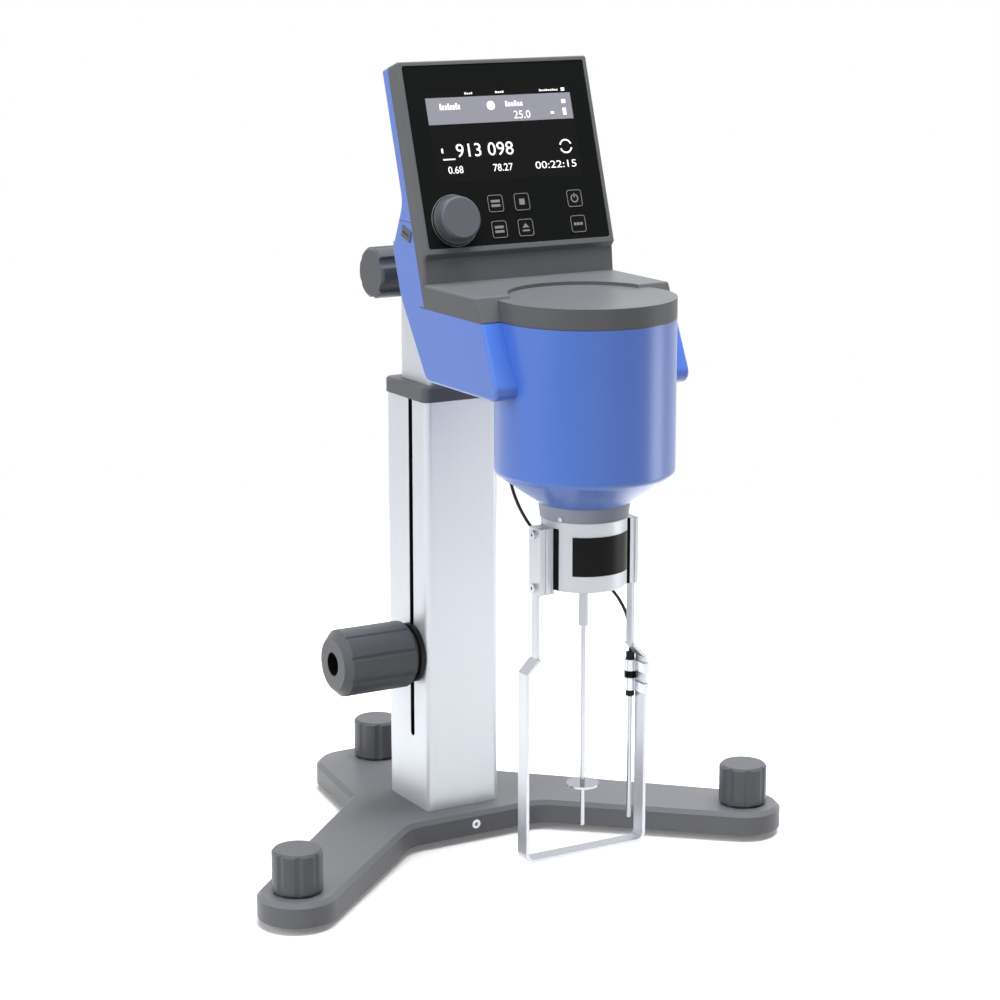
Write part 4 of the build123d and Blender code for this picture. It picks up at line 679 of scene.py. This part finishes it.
def sensor_lead():
    """The lead as a free cord in place of its plain CAD solid."""
    curve = bpy.data.curves.new("lead", "CURVE")
    curve.dimensions = "3D"
    curve.bevel_depth = LEAD_DIAMETER / 2
    curve.bevel_resolution = 4
    curve.resolution_u = 8
    curve.use_fill_caps = True
    spline = curve.splines.new("NURBS")
    spline.points.add(len(LEAD_ROUTE) - 1)
    for point, (x, y, z) in zip(spline.points, LEAD_ROUTE):
        point.co = (x * MM, y * MM + COLUMN_Y, z * MM, 1.0)
    spline.order_u = 3
    spline.use_endpoint_u = True
    lead = bpy.data.objects.new("lead", curve)
    bpy.context.scene.collection.objects.link(lead)
    curve.materials.append(FINISHES["rubber"])
    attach(lead, "head")
    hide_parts("sensor_lead")


sensor_lead()


# ---------------------------------------------------------------- floor, light and camera
SKY_HIGH = 0.34                # light of the white surroundings on matt surfaces, from overhead
SKY_LOW = 0.10                 # and from the horizon
FLOOR_HALF = 6.0               # half the floor's side, in metres
FLOOR_NEAR = 0.55              # distance from the middle where it starts to fade to white
FLOOR_FAR = 1.1                # and where it is white
FLOOR_GLOW = 0.12              # what it adds to the shaded floor for the camera
FLOOR_PALE = 0.9               # the floor's own brightness as the camera sees it
FLOOR_BOUNCE = 0.30            # and as far as it lights the object
OBJECT_MIDDLE = (0.0, 0.0, 0.26)
BOWL_MIDDLE = (0.0, -0.17, 0.3)
CAMERA_PLACE = (-849.4, -1544.2, 624.6)        # in millimetres from the column's foot
CAMERA_TARGET = (0.0, -40.0, 235.23)
CAMERA_ROLL = -0.16
CAMERA_SENSOR = 36.0
CAMERA_LENS = 96.89
CAMERA_SHIFT = 0.0281


def white_when_seen(tree, hidden):
    """1 for the camera, a reflection or clear glass, and the hidden value for light on surfaces."""
    path = tree.nodes.new("ShaderNodeLightPath")
    seen = path.outputs["Is Camera Ray"]
    for ray in ("Is Glossy Ray", "Is Transmission Ray"):
        seen = math_node(tree, "MAXIMUM", seen, path.outputs[ray])
    return map_range(tree, seen, result=(hidden, 1.0))


def floor():
    """Pale table that keeps the object's shadow and fades to plain white away from it."""
    corners = [(x * FLOOR_HALF, y * FLOOR_HALF, 0) for x, y in ((-1, -1), (1, -1), (1, 1), (-1, 1))]
    mesh = bpy.data.meshes.new("floor")
    mesh.from_pydata(corners, [], [(0, 1, 2, 3)])
    obj = bpy.data.objects.new("floor", mesh)
    bpy.context.scene.collection.objects.link(obj)
    material = bpy.data.materials.new("floor")
    material.use_nodes = True
    tree = material.node_tree
    near = tree.nodes["Principled BSDF"]
    pale = math_node(tree, "MULTIPLY", white_when_seen(tree, FLOOR_BOUNCE / FLOOR_PALE), FLOOR_PALE)
    link(tree, pale, near.inputs["Base Color"])
    near.inputs["Roughness"].default_value = 0.9
    near.inputs["Specular IOR Level"].default_value = 0.0
    near.inputs["Emission Color"].default_value = (1, 1, 1, 1)
    glow = math_node(tree, "MULTIPLY", white_when_seen(tree, 0.0), FLOOR_GLOW)
    link(tree, glow, near.inputs["Emission Strength"])
    far = tree.nodes.new("ShaderNodeEmission")
    link(tree, white_when_seen(tree, SKY_LOW), far.inputs["Strength"])
    fade = map_range(tree, length_node(tree, place_node(tree)), (FLOOR_NEAR, FLOOR_FAR))
    mix = tree.nodes.new("ShaderNodeMixShader")
    link(tree, fade, mix.inputs["Fac"])
    link(tree, near.outputs["BSDF"], mix.inputs[1])
    link(tree, far.outputs["Emission"], mix.inputs[2])
    link(tree, mix.outputs["Shader"], tree.nodes["Material Output"].inputs["Surface"])
    mesh.materials.append(material)


def world():
    """White to the camera, in reflections and through glass, and a softer light on the object."""
    sky = bpy.data.worlds.new("studio")
    bpy.context.scene.world = sky
    sky.use_nodes = True
    tree = sky.node_tree
    background = tree.nodes["Background"]
    background.inputs["Color"].default_value = (1, 1, 1, 1)
    direction = tree.nodes.new("ShaderNodeTexCoord")
    split = tree.nodes.new("ShaderNodeSeparateXYZ")
    link(tree, direction.outputs["Generated"], split.inputs["Vector"])
    rise = map_range(tree, split.outputs["Z"], result=(SKY_LOW, SKY_HIGH))
    link(tree, white_when_seen(tree, rise), background.inputs["Strength"])


def softbox(name, place, target, size, power, only_reflected=False):
    """A soft lamp that no surface mirrors, or a card that is seen in reflections alone."""
    lamp = bpy.data.lights.new(name, "AREA")
    lamp.shape = "RECTANGLE"
    lamp.size, lamp.size_y = size
    lamp.energy = power
    obj = bpy.data.objects.new(name, lamp)
    bpy.context.scene.collection.objects.link(obj)
    obj.location = place
    obj.visible_glossy = only_reflected
    obj.visible_diffuse = not only_reflected
    obj.rotation_euler = (Vector(target) - Vector(place)).to_track_quat("-Z", "Y").to_euler()


def camera():
    """The photograph's camera."""
    column_foot = Vector((0, COLUMN_Y, 0))
    place = Vector(CAMERA_PLACE) * MM + column_foot
    target = Vector(CAMERA_TARGET) * MM + column_foot
    lens = bpy.data.cameras.new("camera")
    lens.sensor_width = CAMERA_SENSOR
    lens.lens = CAMERA_LENS
    lens.shift_x = CAMERA_SHIFT
    obj = bpy.data.objects.new("camera", lens)
    bpy.context.scene.collection.objects.link(obj)
    obj.location = place
    turn = (target - place).to_track_quat("-Z", "Y")
    roll = Matrix.Rotation(math.radians(CAMERA_ROLL), 4, "Z").to_quaternion()
    obj.rotation_euler = (turn @ roll).to_euler()
    bpy.context.scene.camera = obj


floor()
world()
softbox("top_light", (0.1, -0.2, 2.2), OBJECT_MIDDLE, (1.6, 1.6), 84.0)
softbox("key_light", (-2.2, -0.1, 0.9), OBJECT_MIDDLE, (1.0, 1.6), 29.0)
softbox("front_light", (-0.4, -2.2, 0.7), OBJECT_MIDDLE, (1.6, 1.2), 4.5)
softbox("rim_light", (1.6, 0.9, 0.8), OBJECT_MIDDLE, (0.7, 1.6), 24.0)
softbox("side_card", (0.72, -0.42, 0.16), BOWL_MIDDLE, (0.28, 0.28), 0.75, only_reflected=True)
camera()
bpy.context.scene.view_settings.view_transform = "Standard"
